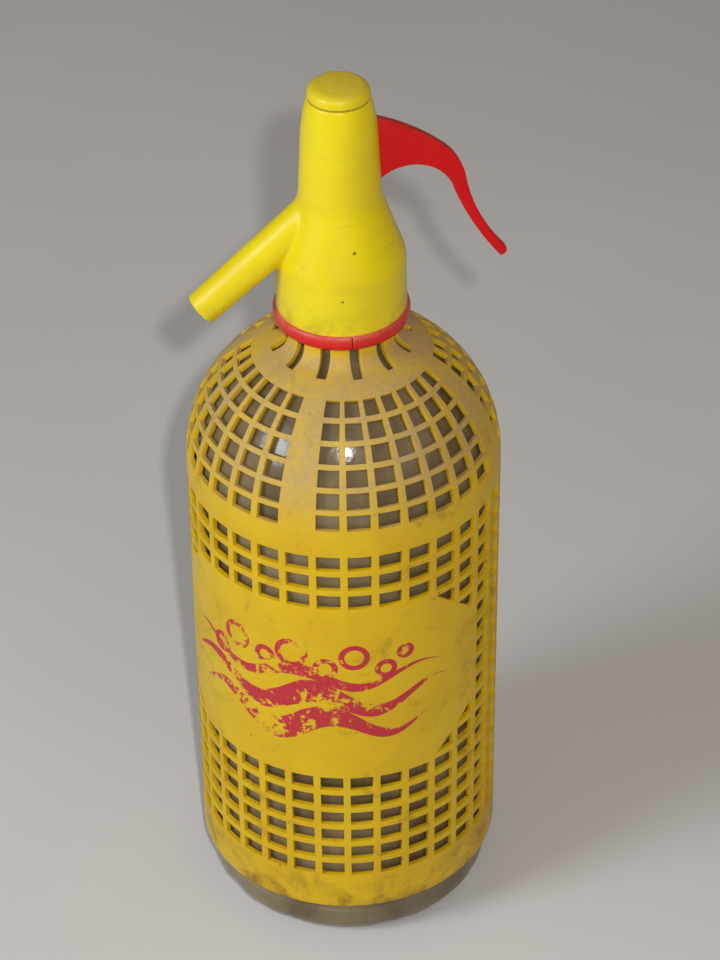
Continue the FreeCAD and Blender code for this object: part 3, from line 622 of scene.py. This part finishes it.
def head_outline():
    """Half of the head's outside, from the middle of its foot to the middle of its top."""
    corners = [(0.0, HEAD_FOOT), (SKIRT_FOOT, HEAD_FOOT), SKIRT_EDGE, SKIRT_TOP]
    corners += arc_between(SKIRT_TOP, CONE_FOOT, SKIRT_BEND, 1, 6)
    corners.append(CONE_TOP)
    corners += arc_between(CONE_TOP, BARREL_FOOT, WAIST_BEND, -1, 5)
    corners.append(BARREL_SHOULDER)
    corners += arc_between(BARREL_SHOULDER, BARREL_RIM, BARREL_BEND, 1, 6)
    corners.append((0.0, HEAD_TOP))
    return np.array(corners)


def outline_distance(outline, points):
    """Signed distance of radius and height pairs from the outline, negative inside."""
    closed = np.vstack([outline, outline[:1]])
    start, end = closed[:-1], closed[1:]
    span = end - start
    rel = points[:, None, :] - start[None]
    share = np.clip((rel * span).sum(2) / np.maximum((span**2).sum(1), 1e-18), 0, 1)
    # The stretch along the axis is inside the solid, so it bounds nothing
    away = np.linalg.norm(rel - share[..., None] * span, axis=2)
    away[:, -1] = 1.0
    distance = away.min(1)
    crosses = (start[None, :, 1] > points[:, None, 1]) != (end[None, :, 1] > points[:, None, 1])
    rise = np.where(np.abs(span[:, 1]) < 1e-12, 1e-12, span[:, 1])
    at = start[None, :, 0] + (points[:, None, 1] - start[None, :, 1]) * span[None, :, 0] / rise[None]
    inside = (crosses & (points[:, None, 0] < at)).sum(1) % 2 == 1
    return np.where(inside, -distance, distance)


def spout_distance(points):
    """Signed distance from the tapered spout."""
    axis = np.array([-math.cos(SPOUT_ANGLE), 0.0, -math.sin(SPOUT_ANGLE)])
    rel = points - np.array([0.0, 0.0, SPOUT_RISE])
    along = rel @ axis
    across = np.linalg.norm(rel - along[:, None] * axis, axis=1)
    taper = (SPOUT_TIP_RADIUS - SPOUT_ROOT_RADIUS) / SPOUT_LENGTH
    side = (across - (SPOUT_ROOT_RADIUS + along * taper)) * math.cos(math.atan(taper))
    end = np.maximum(along - SPOUT_LENGTH, -along)
    corner = np.stack([side + SPOUT_EDGE, end + SPOUT_EDGE], 1)
    outside = np.linalg.norm(np.maximum(corner, 0), axis=1)
    return outside + np.minimum(corner.max(1), 0) - SPOUT_EDGE


def head_distance(points, outline):
    """Skirt, cone and barrel joined to the spout by a soft fillet."""
    flat = np.stack([np.linalg.norm(points[:, :2], axis=1), points[:, 2]], 1)
    turned = outline_distance(outline, flat)
    spout = spout_distance(points)
    soft = np.maximum(SPOUT_BLEND - np.abs(turned - spout), 0) / SPOUT_BLEND
    blend = soft**3 * SPOUT_BLEND / 6
    # The fillet stays clear of the skirt's foot and the barrel's top
    above_skirt = np.clip((points[:, 2] - 262 * MM) / (8 * MM), 0, 1)
    below_top = np.clip((316 * MM - points[:, 2]) / (8 * MM), 0, 1)
    return np.minimum(turned, spout) - blend * (above_skirt * below_top)


def cut_away(piece, cutter, name):
    """Cut one mesh out of another."""
    tool = link(name, cutter)
    cut = piece.modifiers.new(name, "BOOLEAN")
    cut.operation = "DIFFERENCE"
    cut.solver = "EXACT"
    cut.object = tool
    settle_modifiers(piece)
    bpy.data.objects.remove(tool)


def box_mesh(name, low, high):
    """A box between two corners, for cutting."""
    work = bmesh.new()
    bmesh.ops.create_cube(work, size=1.0)
    low, high = Vector(low), Vector(high)
    for vert in work.verts:
        vert.co = Vector([l + (h - l) * (c + 0.5) for l, h, c in zip(low, high, vert.co)])
    mesh = bpy.data.meshes.new(name)
    work.to_mesh(mesh)
    work.free()
    return mesh


def rod_outline(radius, low, high):
    """Half the outline of a plain rod, for cutting."""
    return [(0.0, low), (radius, low), (radius, high), (0.0, high)]


def spout_mesh(name, radius, start, end, segments):
    """A rod along the spout's middle line between two distances from the head's axis."""
    mesh = turned_mesh(name, rod_outline(radius, start, end), segments)
    down = Vector((-math.cos(SPOUT_ANGLE), 0, -math.sin(SPOUT_ANGLE)))
    turn = down.to_track_quat("Z", "Y").to_matrix().to_4x4()
    mesh.transform(Matrix.Translation((0, 0, SPOUT_RISE)) @ turn)
    return mesh


def head_blank():
    """Skirt, cone and barrel with the spout standing in them, as one fine even skin."""
    mesh = turned_mesh("head_moulding", [tuple(point) for point in head_outline()], 72)
    work = bmesh.new()
    work.from_mesh(mesh)
    work.from_mesh(spout_mesh("spout_blank", SPOUT_ROOT_RADIUS, 0.0, SPOUT_LENGTH, 32))
    work.to_mesh(mesh)
    work.free()
    piece = link("head_moulding", mesh)
    skin = piece.modifiers.new("skin", "REMESH")
    skin.mode = "VOXEL"
    skin.voxel_size = SKIN_GRAIN
    return settle_modifiers(piece)


def draw_onto_form(piece, outline):
    """Move each point of the skin onto the head's true form."""
    points = np.zeros(len(piece.data.vertices) * 3)
    piece.data.vertices.foreach_get("co", points)
    points = points.reshape(-1, 3)
    tiny = 0.02 * MM
    longest = 0.5 * MM
    for _ in range(6):
        value = head_distance(points, outline)
        ahead = [head_distance(points + np.eye(3)[k] * tiny, outline) for k in range(3)]
        slope = np.stack([(side - value) / tiny for side in ahead], 1)
        slope /= np.maximum(np.linalg.norm(slope, axis=1, keepdims=True), 1e-6)
        points -= np.clip(value, -longest, longest)[:, None] * slope
    piece.data.vertices.foreach_set("co", points.ravel())
    piece.data.update()


def make_head():
    """The head moulding: skirt, cone, barrel and spout, bored out and slotted for the lever."""
    piece = head_blank()
    draw_onto_form(piece, head_outline())
    skirt = rod_outline(SKIRT_BORE, HEAD_FOOT - OVERCUT, SKIRT_BORE_TOP)
    cut_away(piece, turned_mesh("skirt_cut", skirt, 72), "skirt_cut")
    barrel = rod_outline(BARREL_BORE, GUIDE_FOOT, HEAD_TOP + OVERCUT)
    cut_away(piece, turned_mesh("barrel_cut", barrel, 64), "barrel_cut")
    mouth_foot = SPOUT_LENGTH - MOUTH_DEPTH
    mouth = spout_mesh("mouth_cut", SPOUT_MOUTH_RADIUS, mouth_foot, SPOUT_LENGTH + OVERCUT, 40)
    cut_away(piece, mouth, "mouth_cut")
    half = LEVER_SLOT / 2
    slot = box_mesh("slot_cut", (SLOT_INSIDE, -half, SLOT_LOW), (SLOT_OUTSIDE, half, SLOT_HIGH))
    cut_away(piece, slot, "slot_cut")
    shade_smooth(piece.data, 50.0)
    return piece


# Shader groups


class Board:
    """Short calls for building a node tree."""

    def __init__(self, tree):
        self.tree = tree

    def add(self, kind, **settings):
        node = self.tree.nodes.new(kind)
        for key, value in settings.items():
            setattr(node, key, value)
        return node

    def wire(self, source, target):
        self.tree.links.new(source, target)

    def feed(self, socket, value):
        if isinstance(value, bpy.types.NodeSocket):
            self.wire(value, socket)
        else:
            socket.default_value = value

    def maths(self, operation, first, second=0.0, third=0.0, clamp=False):
        node = self.add("ShaderNodeMath", operation=operation, use_clamp=clamp)
        for socket, value in zip(node.inputs, (first, second, third)):
            self.feed(socket, value)
        return node.outputs[0]

    def times(self, first, second, clamp=False):
        return self.maths("MULTIPLY", first, second, clamp=clamp)

    def plus(self, first, second, clamp=False):
        return self.maths("ADD", first, second, clamp=clamp)

    def minus(self, first, second, clamp=False):
        return self.maths("SUBTRACT", first, second, clamp=clamp)

    def size_of(self, value):
        return self.maths("ABSOLUTE", value)

    def height(self, coords):
        """The upright part of a place."""
        parts = self.add("ShaderNodeSeparateXYZ")
        self.wire(coords, parts.inputs[0])
        return parts.outputs["Z"]

    def noise(self, coords, scale, detail=3.0, roughness=0.5, distortion=0.0):
        node = self.add("ShaderNodeTexNoise")
        self.wire(coords, node.inputs["Vector"])
        self.feed(node.inputs["Scale"], scale)
        node.inputs["Detail"].default_value = detail
        node.inputs["Roughness"].default_value = roughness
        node.inputs["Distortion"].default_value = distortion
        return node.outputs["Fac"]

    def ramp(self, value, low, high):
        """0 below low, 1 above high."""
        node = self.add("ShaderNodeMapRange", interpolation_type="SMOOTHSTEP")
        self.feed(node.inputs["Value"], value)
        self.feed(node.inputs["From Min"], low)
        self.feed(node.inputs["From Max"], high)
        return node.outputs["Result"]

    def mix(self, share, first, second):
        node = self.add("ShaderNodeMix", data_type="RGBA")
        self.feed(node.inputs[0], share)
        self.feed(node.inputs[6], first)
        self.feed(node.inputs[7], second)
        return node.outputs[2]

    def coords(self):
        return self.add("ShaderNodeTexCoord").outputs["Object"]


def new_group(name, inputs, outputs):
    """A shader node group with named sockets."""
    tree = bpy.data.node_groups.new(name, "ShaderNodeTree")
    for label, kind, value in inputs:
        socket = tree.interface.new_socket(label, in_out="INPUT", socket_type=kind)
        if value is not None:
            socket.default_value = value
    for label, kind in outputs:
        tree.interface.new_socket(label, in_out="OUTPUT", socket_type=kind)
    board = Board(tree)
    return board, board.add("NodeGroupInput").outputs, board.add("NodeGroupOutput").inputs


def build_mottle_group():
    """Soft colour drift, dirt specks and the fine grain of old plastic."""
    board, source, out = new_group(
        "aged_plastic",
        [
            ("Coords", "NodeSocketVector", None),
            ("Drift Scale", "NodeSocketFloat", 40.0),
            ("Speck Scale", "NodeSocketFloat", 260.0),
            ("Speck Share", "NodeSocketFloat", 0.3),
        ],
        [("Drift", "NodeSocketFloat"), ("Specks", "NodeSocketFloat"), ("Grain", "NodeSocketFloat")],
    )
    drift = board.noise(source["Coords"], source["Drift Scale"], 4.0, 0.55, 0.4)
    board.wire(board.ramp(drift, 0.35, 0.68), out["Drift"])
    cells = board.add("ShaderNodeTexVoronoi", feature="F1")
    board.wire(source["Coords"], cells.inputs["Vector"])
    board.wire(source["Speck Scale"], cells.inputs["Scale"])
    dots = board.ramp(cells.outputs["Distance"], 0.16, 0.07)
    patches = board.noise(source["Coords"], board.times(source["Speck Scale"], 0.16), 2.0)
    threshold = board.minus(0.86, board.times(source["Speck Share"], 0.5))
    spotted = board.ramp(patches, threshold, board.plus(threshold, 0.05))
    board.wire(board.times(dots, spotted), out["Specks"])
    board.wire(board.noise(source["Coords"], 900.0, 3.0, 0.6), out["Grain"])
    return board.tree


def build_dust_group():
    """Dust that settles on what faces up, thicker in patches; on the lever it also stands in as a painted
    reflection along its top edge.
    """
    board, source, out = new_group(
        "upward_dust_and_sheen",
        [
            ("Coords", "NodeSocketVector", None),
            ("Foot", "NodeSocketFloat", 0.18),
            ("Head", "NodeSocketFloat", 0.22),
            ("Amount", "NodeSocketFloat", 1.0),
        ],
        [("Dust", "NodeSocketFloat")],
    )
    rise = board.ramp(board.height(source["Coords"]), source["Foot"], source["Head"])
    facing = board.add("ShaderNodeNewGeometry").outputs["Normal"]
    up = board.ramp(board.height(facing), -0.15, 0.65)
    clouds = board.noise(source["Coords"], 38.0, 5.0, 0.62, 0.3)
    fine = board.noise(source["Coords"], 760.0, 3.0, 0.75)
    both = board.plus(board.times(clouds, 0.6), board.times(fine, 0.4))
    patchy = board.plus(board.times(board.ramp(both, 0.36, 0.60), 0.72), 0.28)
    dust_and_sheen_share = board.times(board.times(rise, up), patchy)
    board.wire(board.times(dust_and_sheen_share, source["Amount"], clamp=True), out["Dust"])
    return board.tree


def build_scuff_group():
    """Dark smears and thin scratches in patches."""
    board, source, out = new_group(
        "scuffs",
        [
            ("Coords", "NodeSocketVector", None),
            ("Scale", "NodeSocketFloat", 60.0),
            ("Share", "NodeSocketFloat", 0.3),
        ],
        [("Smears", "NodeSocketFloat"), ("Scratches", "NodeSocketFloat")],
    )
    patches = board.noise(source["Coords"], source["Scale"], 5.0, 0.65, 0.8)
    threshold = board.minus(0.80, board.times(source["Share"], 0.35))
    board.wire(board.ramp(patches, threshold, board.plus(threshold, 0.14)), out["Smears"])
    stretched = board.add("ShaderNodeMapping")
    board.wire(source["Coords"], stretched.inputs["Vector"])
    stretched.inputs["Rotation"].default_value = (0.06, 0.04, 0.0)
    stretched.inputs["Scale"].default_value = (1.0, 1.0, 9.0)
    lines = board.noise(stretched.outputs[0], 45.0, 2.0, 0.5)
    fine = board.ramp(board.size_of(board.minus(lines, 0.5)), 0.012, 0.0)
    board.wire(board.times(fine, board.ramp(patches, 0.45, 0.6)), out["Scratches"])
    return board.tree


def build_grime_group():
    """Dirt in patches round a lower border."""
    board, source, out = new_group(
        "border_grime",
        [
            ("Coords", "NodeSocketVector", None),
            ("Foot", "NodeSocketFloat", 0.0),
            ("Head", "NodeSocketFloat", 0.02),
        ],
        [("Grime", "NodeSocketFloat")],
    )
    low = board.ramp(board.height(source["Coords"]), source["Head"], source["Foot"])
    patchy = board.ramp(board.noise(source["Coords"], 70.0, 5.0, 0.65, 0.5), 0.40, 0.66)
    board.wire(board.times(low, board.times(patchy, 0.8)), out["Grime"])
    return board.tree


GROUPS = {
    "mottle": build_mottle_group(),
    "dust_and_sheen": build_dust_group(),
    "scuffs": build_scuff_group(),
    "grime": build_grime_group(),
}


def new_material(name):
    """A material with a plain Principled shader."""
    material = bpy.data.materials.new(name)
    material.use_nodes = True
    board = Board(material.node_tree)
    shader = material.node_tree.nodes["Principled BSDF"]
    return material, board, shader


def place_group(board, name, coords, **values):
    """A shared effect placed in a material with its own values."""
    node = board.add("ShaderNodeGroup", node_tree=GROUPS[name])
    board.wire(coords, node.inputs["Coords"])
    for key, value in values.items():
        node.inputs[key.replace("_", " ")].default_value = value
    return node.outputs


def bumped(board, shader, height, strength, distance):
    """Relief of the surface from a height."""
    node = board.add("ShaderNodeBump")
    node.inputs["Strength"].default_value = strength
    node.inputs["Distance"].default_value = distance
    board.wire(height, node.inputs["Height"])
    board.wire(node.outputs[0], shader.inputs["Normal"])


def rgba(red, green, blue):
    """A colour from its 0 to 255 screen values."""
    shares = [value / 255 for value in (red, green, blue)]
    linear = [share / 12.92 if share < 0.04 else ((share + 0.055) / 1.055) ** 2.4 for share in shares]
    return (*linear, 1.0)


PRINT_RED = rgba(190, 44, 54)
SPECK_BROWN = rgba(70, 55, 30)
CHIP_BROWN = rgba(92, 70, 30)


def chip_mark(board, coords, place, width):
    """A small ragged chip at one place."""
    gap = board.add("ShaderNodeVectorMath", operation="DISTANCE")
    board.wire(coords, gap.inputs[0])
    gap.inputs[1].default_value = place
    wobble = board.times(board.noise(coords, 1500.0, 2.0), 0.8 * MM)
    mark = board.ramp(board.plus(gap.outputs["Value"], wobble), width + 0.5 * MM, width + 0.2 * MM)
    return board.times(mark, 0.8)


def plastic(
    name, clean, faded, dirt, roughness, dust_and_sheen=None, specks=0.3, smears=0.25,
    print_mask=None, shine=0.4, grime=None, chips=(),
):
    """Old glossy plastic: drifting colour, specks, scuffs, grime, chips and settled dust, which on the
    lever is also a painted reflection.
    """
    material, board, shader = new_material(name)
    coords = board.coords()
    aged = place_group(board, "mottle", coords, Speck_Share=specks)
    scuffs = place_group(board, "scuffs", coords, Share=smears)
    colour = board.mix(board.times(aged["Drift"], 0.55), clean, faded)
    rough = board.plus(board.times(aged["Drift"], 0.10), roughness)
    if print_mask is not None:
        colour = board.mix(print_mask(board), colour, PRINT_RED)
    colour = board.mix(board.times(scuffs["Smears"], 0.36), colour, dirt)
    colour = board.mix(board.times(scuffs["Scratches"], 0.16), colour, dirt)
    if grime:
        border = place_group(board, "grime", coords, Foot=grime[0], Head=grime[1])
        colour = board.mix(border["Grime"], colour, dirt)
    colour = board.mix(board.times(aged["Specks"], 0.75), colour, SPECK_BROWN)
    for place, width in chips:
        colour = board.mix(chip_mark(board, coords, place, width), colour, CHIP_BROWN)
    if dust_and_sheen:
        foot, head, amount, dust_and_sheen_colour = dust_and_sheen
        dust_and_sheen_share = place_group(board, "dust_and_sheen", coords, Foot=foot, Head=head, Amount=amount)
        colour = board.mix(dust_and_sheen_share["Dust"], colour, dust_and_sheen_colour)
        rough = board.plus(rough, board.times(dust_and_sheen_share["Dust"], 0.35), clamp=True)
    board.wire(colour, shader.inputs["Base Color"])
    board.wire(rough, shader.inputs["Roughness"])
    shader.inputs["Specular IOR Level"].default_value = shine
    bumped(board, shader, aged["Grain"], 0.16, 0.0003)
    return material


# Each wave's height, half width, swing, phase and reach, in millimetres and radians
WAVES = [(-14.0, 6.0, 4.6, 0.0, 46.0), (-3.0, 5.4, 4.4, 0.8, 54.0), (7.0, 3.0, 3.4, 1.7, 52.0)]
WAVE_PITCH = 0.145
# Each bubble's place across and up, and its radius, in millimetres
BUBBLES = [
    (-33.0, 8.0, 3.2), (-25.0, 16.0, 4.6), (-13.0, 13.0, 3.0), (-3.0, 17.0, 5.0),
    (9.0, 12.0, 3.4), (19.0, 17.0, 4.4), (30.0, 11.0, 3.0), (37.0, 17.0, 2.2),
]


def wave_stroke(board, across, up, height, width, swing, phase, reach):
    """One wave, widest in its middle."""
    turn = board.plus(board.times(across, WAVE_PITCH), phase)
    crest = board.times(board.maths("SINE", turn), swing)
    off = board.size_of(board.minus(board.minus(up, crest), height))
    used = board.maths("DIVIDE", board.size_of(across), reach)
    taper = board.times(board.minus(1.0, used, clamp=True), width)
    return board.ramp(board.minus(off, taper), 0.15, -0.15)


def bubble_ring(board, across, up, middle, height, radius):
    """One bubble's outline."""
    aside = board.minus(across, middle)
    above = board.minus(up, height)
    far = board.maths("SQRT", board.plus(board.times(aside, aside), board.times(above, above)))
    return board.ramp(board.size_of(board.minus(far, radius)), 1.15, 0.9)


def label_print(board):
    """A worn red print on the front panel: three waves with rising bubbles."""
    coords = board.coords()
    place = board.add("ShaderNodeSeparateXYZ")
    board.wire(coords, place.inputs[0])
    turned = board.maths("ARCTAN2", place.outputs["Y"], place.outputs["X"])
    facing = math.radians(RIB_DIRECTION - 360.0)
    across = board.times(board.minus(turned, facing), COVER_RADIUS / MM)
    up = board.times(board.minus(place.outputs["Z"], PANEL_MIDDLE), 1 / MM)
    marks = None
    for wave in WAVES:
        stroke = wave_stroke(board, across, up, *wave)
        marks = stroke if marks is None else board.maths("MAXIMUM", marks, stroke)
    for bubble in BUBBLES:
        marks = board.maths("MAXIMUM", marks, bubble_ring(board, across, up, *bubble))
    patches = board.noise(coords, 75.0, 6.0, 0.72, 0.5)
    fine = board.noise(coords, 600.0, 2.0)
    wear = board.plus(board.times(patches, 0.75), board.times(fine, 0.25))
    return board.times(marks, board.ramp(wear, 0.575, 0.52))


def make_materials():
    """Every finish under a short name."""
    kinds = {
        "cover": plastic(
            "cover_ochre", rgba(222, 182, 6), rgba(208, 164, 10), rgba(122, 84, 20), 0.40,
            dust_and_sheen=(0.176, 0.206, 1.0, rgba(184, 154, 104)), specks=0.50, smears=0.70,
            print_mask=label_print, shine=0.35, grime=(COVER_BOTTOM, COVER_BOTTOM + 0.022),
        ),
        "head": plastic(
            "head_yellow", rgba(236, 212, 4), rgba(222, 194, 14), rgba(128, 100, 24), 0.34,
            specks=0.42, smears=0.42, grime=(HEAD_FOOT - 0.010, HEAD_FOOT + 0.013),
            chips=(((0.0006, -0.0184, 0.2762), 0.9 * MM), ((-0.0042, -0.0210, 0.2600), 0.5 * MM)),
        ),
        "cap": plastic(
            "cap_yellow", rgba(232, 206, 6), rgba(216, 186, 16), rgba(128, 100, 24), 0.36,
            dust_and_sheen=(0.326, 0.3296, 0.65, rgba(206, 174, 66)), specks=0.45, smears=0.45,
        ),
        "lever": plastic(
            "lever_red", rgba(220, 3, 8), rgba(206, 8, 12), rgba(110, 8, 12), 0.34,
            # On the lever the pale pink-grey on its upward faces is partly settled dust and partly a
            # painted reflection of the pale room along its top edge.
            dust_and_sheen=(0.27, 0.32, 0.42, rgba(170, 96, 88)), specks=0.15, smears=0.3, shine=0.22,
        ),
        "ring": plastic(
            "ring_red", rgba(214, 12, 12), rgba(198, 30, 22), rgba(106, 20, 16), 0.26,
            dust_and_sheen=(0.20, 0.24, 0.6, rgba(204, 126, 98)), specks=0.4, smears=0.4,
        ),
        "rubber": plastic(
            "seal_black", rgba(44, 42, 40), rgba(58, 55, 52), rgba(24, 22, 20), 0.7
        ),
        "inner": plastic(
            "inner_ivory", rgba(222, 216, 198), rgba(206, 198, 172), rgba(140, 130, 104), 0.5
        ),
        "tube": plastic(
            "tube_milky", rgba(214, 216, 206), rgba(196, 196, 180), rgba(150, 148, 130), 0.35
        ),
        "washer": plastic(
            "washer_tan", rgba(176, 150, 60), rgba(160, 140, 70), rgba(110, 96, 50), 0.6
        ),
    }
    kinds["steel"] = brushed_steel()
    kinds["glass"] = bottle_glass()
    return kinds


def brushed_steel():
    """Bright wire, pin and washer steel."""
    material, board, shader = new_material("spring_wire_steel")
    drift = board.noise(board.coords(), 300.0, 3.0)
    board.wire(board.mix(drift, rgba(150, 150, 150), rgba(190, 190, 188)), shader.inputs["Base Color"])
    board.wire(board.plus(board.times(drift, 0.2), 0.25), shader.inputs["Roughness"])
    shader.inputs["Metallic"].default_value = 1.0
    return material


def bottle_glass():
    """Thick brownish grey glass, clouded and dusty outside."""
    material, board, shader = new_material("bottle_grey_glass")
    coords = board.coords()
    cloud = board.noise(coords, 26.0, 5.0, 0.6, 0.6)
    fine = board.noise(coords, 500.0, 2.0)
    shade = board.mix(board.ramp(cloud, 0.35, 0.7), rgba(186, 166, 128), rgba(132, 110, 74))
    board.wire(shade, shader.inputs["Base Color"])
    rough = board.plus(board.times(board.ramp(cloud, 0.4, 0.65), 0.16), 0.10)
    board.wire(rough, shader.inputs["Roughness"])
    shader.inputs["Transmission Weight"].default_value = 0.55
    shader.inputs["IOR"].default_value = 1.5
    bumped(board, shader, board.plus(cloud, board.times(fine, 0.12)), 0.3, 0.0014)
    return material


MATERIALS = make_materials()


def make_pieces():
    """Every dressed piece on its body and in place of its CAD node."""
    finish_piece(make_cover(), SHELL, "cover_plastic", MATERIALS["cover"], "mesh_cover")
    finish_piece(make_head(), SHELL, "head_plastic", MATERIALS["head"], "head_body")
    finish_piece(make_bottle(), SHELL, "bottle_glass", MATERIALS["glass"], "glass_bottle")
    for side in ("front", "back"):
        node = f"collar_half_{side}"
        half = dressed_copy(node, f"red_collar_{side}", 0.15 * MM)
        finish_piece(half, SHELL, "red_plastic", MATERIALS["ring"], node)
    lever = dressed_copy("lever", "press_lever", 0.55 * MM, 3)
    finish_piece(lever, "lever", "red_plastic", MATERIALS["lever"], "lever")
    finish_piece(make_cap(), SHELL, "head_plastic", MATERIALS["cap"], "top_cap")
    spring = finish_piece(make_spring(), SHELL, "spring_steel", MATERIALS["steel"], "valve_spring")
    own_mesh(spring)


INNER_FINISH = {
    "mouth_gasket": "rubber", "seat_insert": "inner", "seat_washer": "rubber", "tube_bush": "rubber",
    "dip_tube": "tube", "valve_disc": "rubber", "disc_screw": "steel", "valve_piston": "inner",
    "stem_packing": "rubber", "guide_bush": "inner", "spring_washer": "steel", "lever_pin": "steel",
    "cap_washer": "washer",
}


def dress_inner_nodes():
    """Finishes of the CAD nodes that stay."""
    for node, finish in INNER_FINISH.items():
        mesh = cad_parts[node].data
        mesh.materials.clear()
        mesh.materials.append(MATERIALS[finish])


# Floor, light and camera

CAMERA_TURN = math.radians(-12.3)
CAMERA_DISTANCE = 0.8718
CAMERA_HEIGHT = 0.8374
CAMERA_PITCH = math.radians(37.39)
CAMERA_YAW = math.radians(0.363)
CAMERA_ROLL = math.radians(-0.595)
CAMERA_LENS = 118.93
CAMERA_SENSOR = 36.0
FLOOR_REACH = 6.0
FLOOR_DROP = 0.0002
ROOM_COLOUR = (1.0, 0.90, 0.78, 1.0)
ROOM_STRENGTH = 0.22
WINDOW_PLACE = (-1.10, -0.62, 0.82)
WINDOW_TARGET = (0, 0, 0.14)
WINDOW_SIZE = 0.55
WINDOW_POWER = 10.0
WINDOW_COLOUR = (0.82, 0.93, 1.0)
FLASH_RIGHT = 0.036
FLASH_RISE = 0.034
FLASH_SIZE = 0.020
FLASH_POWER = 5.3
FLASH_COLOUR = (1.0, 0.99, 0.97)


def around(vector):
    """Turn a direction given beside the camera's line of sight into the part's frame."""
    return Matrix.Rotation(CAMERA_TURN, 3, "Z") @ Vector(vector)


def make_camera():
    """The camera at the photograph's viewing angle."""
    camera = bpy.data.objects.new("camera", bpy.data.cameras.new("camera"))
    bpy.context.scene.collection.objects.link(camera)
    camera.data.sensor_fit = "VERTICAL"
    camera.data.sensor_height = CAMERA_SENSOR
    camera.data.sensor_width = CAMERA_SENSOR
    camera.data.lens = CAMERA_LENS
    ahead = Vector((
        math.sin(CAMERA_YAW) * math.cos(CAMERA_PITCH),
        math.cos(CAMERA_YAW) * math.cos(CAMERA_PITCH),
        -math.sin(CAMERA_PITCH),
    ))
    right = Vector((math.cos(CAMERA_YAW), -math.sin(CAMERA_YAW), 0))
    up = right.cross(ahead)
    rolled_right = right * math.cos(CAMERA_ROLL) + up * math.sin(CAMERA_ROLL)
    rolled_up = up * math.cos(CAMERA_ROLL) - right * math.sin(CAMERA_ROLL)
    axes = Matrix([around(rolled_right), around(rolled_up), around(-ahead)]).transposed().to_4x4()
    place = around((0, -CAMERA_DISTANCE, 0)) + Vector((0, 0, CAMERA_HEIGHT))
    camera.matrix_world = Matrix.Translation(place) @ axes
    bpy.context.scene.camera = camera


def area_light(name, place, target, size, power, colour):
    """A round lamp that faces a target."""
    data = bpy.data.lights.new(name, "AREA")
    data.shape = "DISK"
    data.size = size
    data.energy = power
    data.color = colour
    lamp = bpy.data.objects.new(name, data)
    bpy.context.scene.collection.objects.link(lamp)
    lamp.location = place
    lamp.rotation_euler = (Vector(target) - place).to_track_quat("-Z", "Y").to_euler()


def make_stage():
    """A plain pale floor."""
    mesh = bpy.data.meshes.new("floor")
    corners = [(-1, -1), (1, -1), (1, 1), (-1, 1)]
    mesh.from_pydata([(x * FLOOR_REACH, y * FLOOR_REACH, 0) for x, y in corners], [], [(0, 1, 2, 3)])
    floor = link("floor", mesh)
    floor.location.z = -FLOOR_DROP
    material, board, shader = new_material("floor_grey")
    tone = board.ramp(board.noise(board.coords(), 3.0, 3.0), 0.3, 0.7)
    board.wire(board.mix(tone, rgba(216, 213, 212), rgba(223, 220, 219)), shader.inputs["Base Color"])
    shader.inputs["Roughness"].default_value = 0.9
    mesh.materials.append(material)


def make_light():
    """A dim room, a broad window on the left and the camera's own small flash."""
    world = bpy.data.worlds.new("room")
    bpy.context.scene.world = world
    world.use_nodes = True
    back = world.node_tree.nodes["Background"]
    back.inputs["Color"].default_value = ROOM_COLOUR
    back.inputs["Strength"].default_value = ROOM_STRENGTH
    area_light("window", around(WINDOW_PLACE), WINDOW_TARGET, WINDOW_SIZE, WINDOW_POWER, WINDOW_COLOUR)
    camera = bpy.context.scene.camera.matrix_world
    flash = camera @ Vector((FLASH_RIGHT, FLASH_RISE, 0.0))
    ahead = camera @ Vector((FLASH_RIGHT, FLASH_RISE, -1.0))
    area_light("flash", flash, ahead, FLASH_SIZE, FLASH_POWER, FLASH_COLOUR)


make_pieces()
dress_inner_nodes()
make_camera()
make_stage()
make_light()
bpy.context.scene.view_settings.view_transform = "Standard"
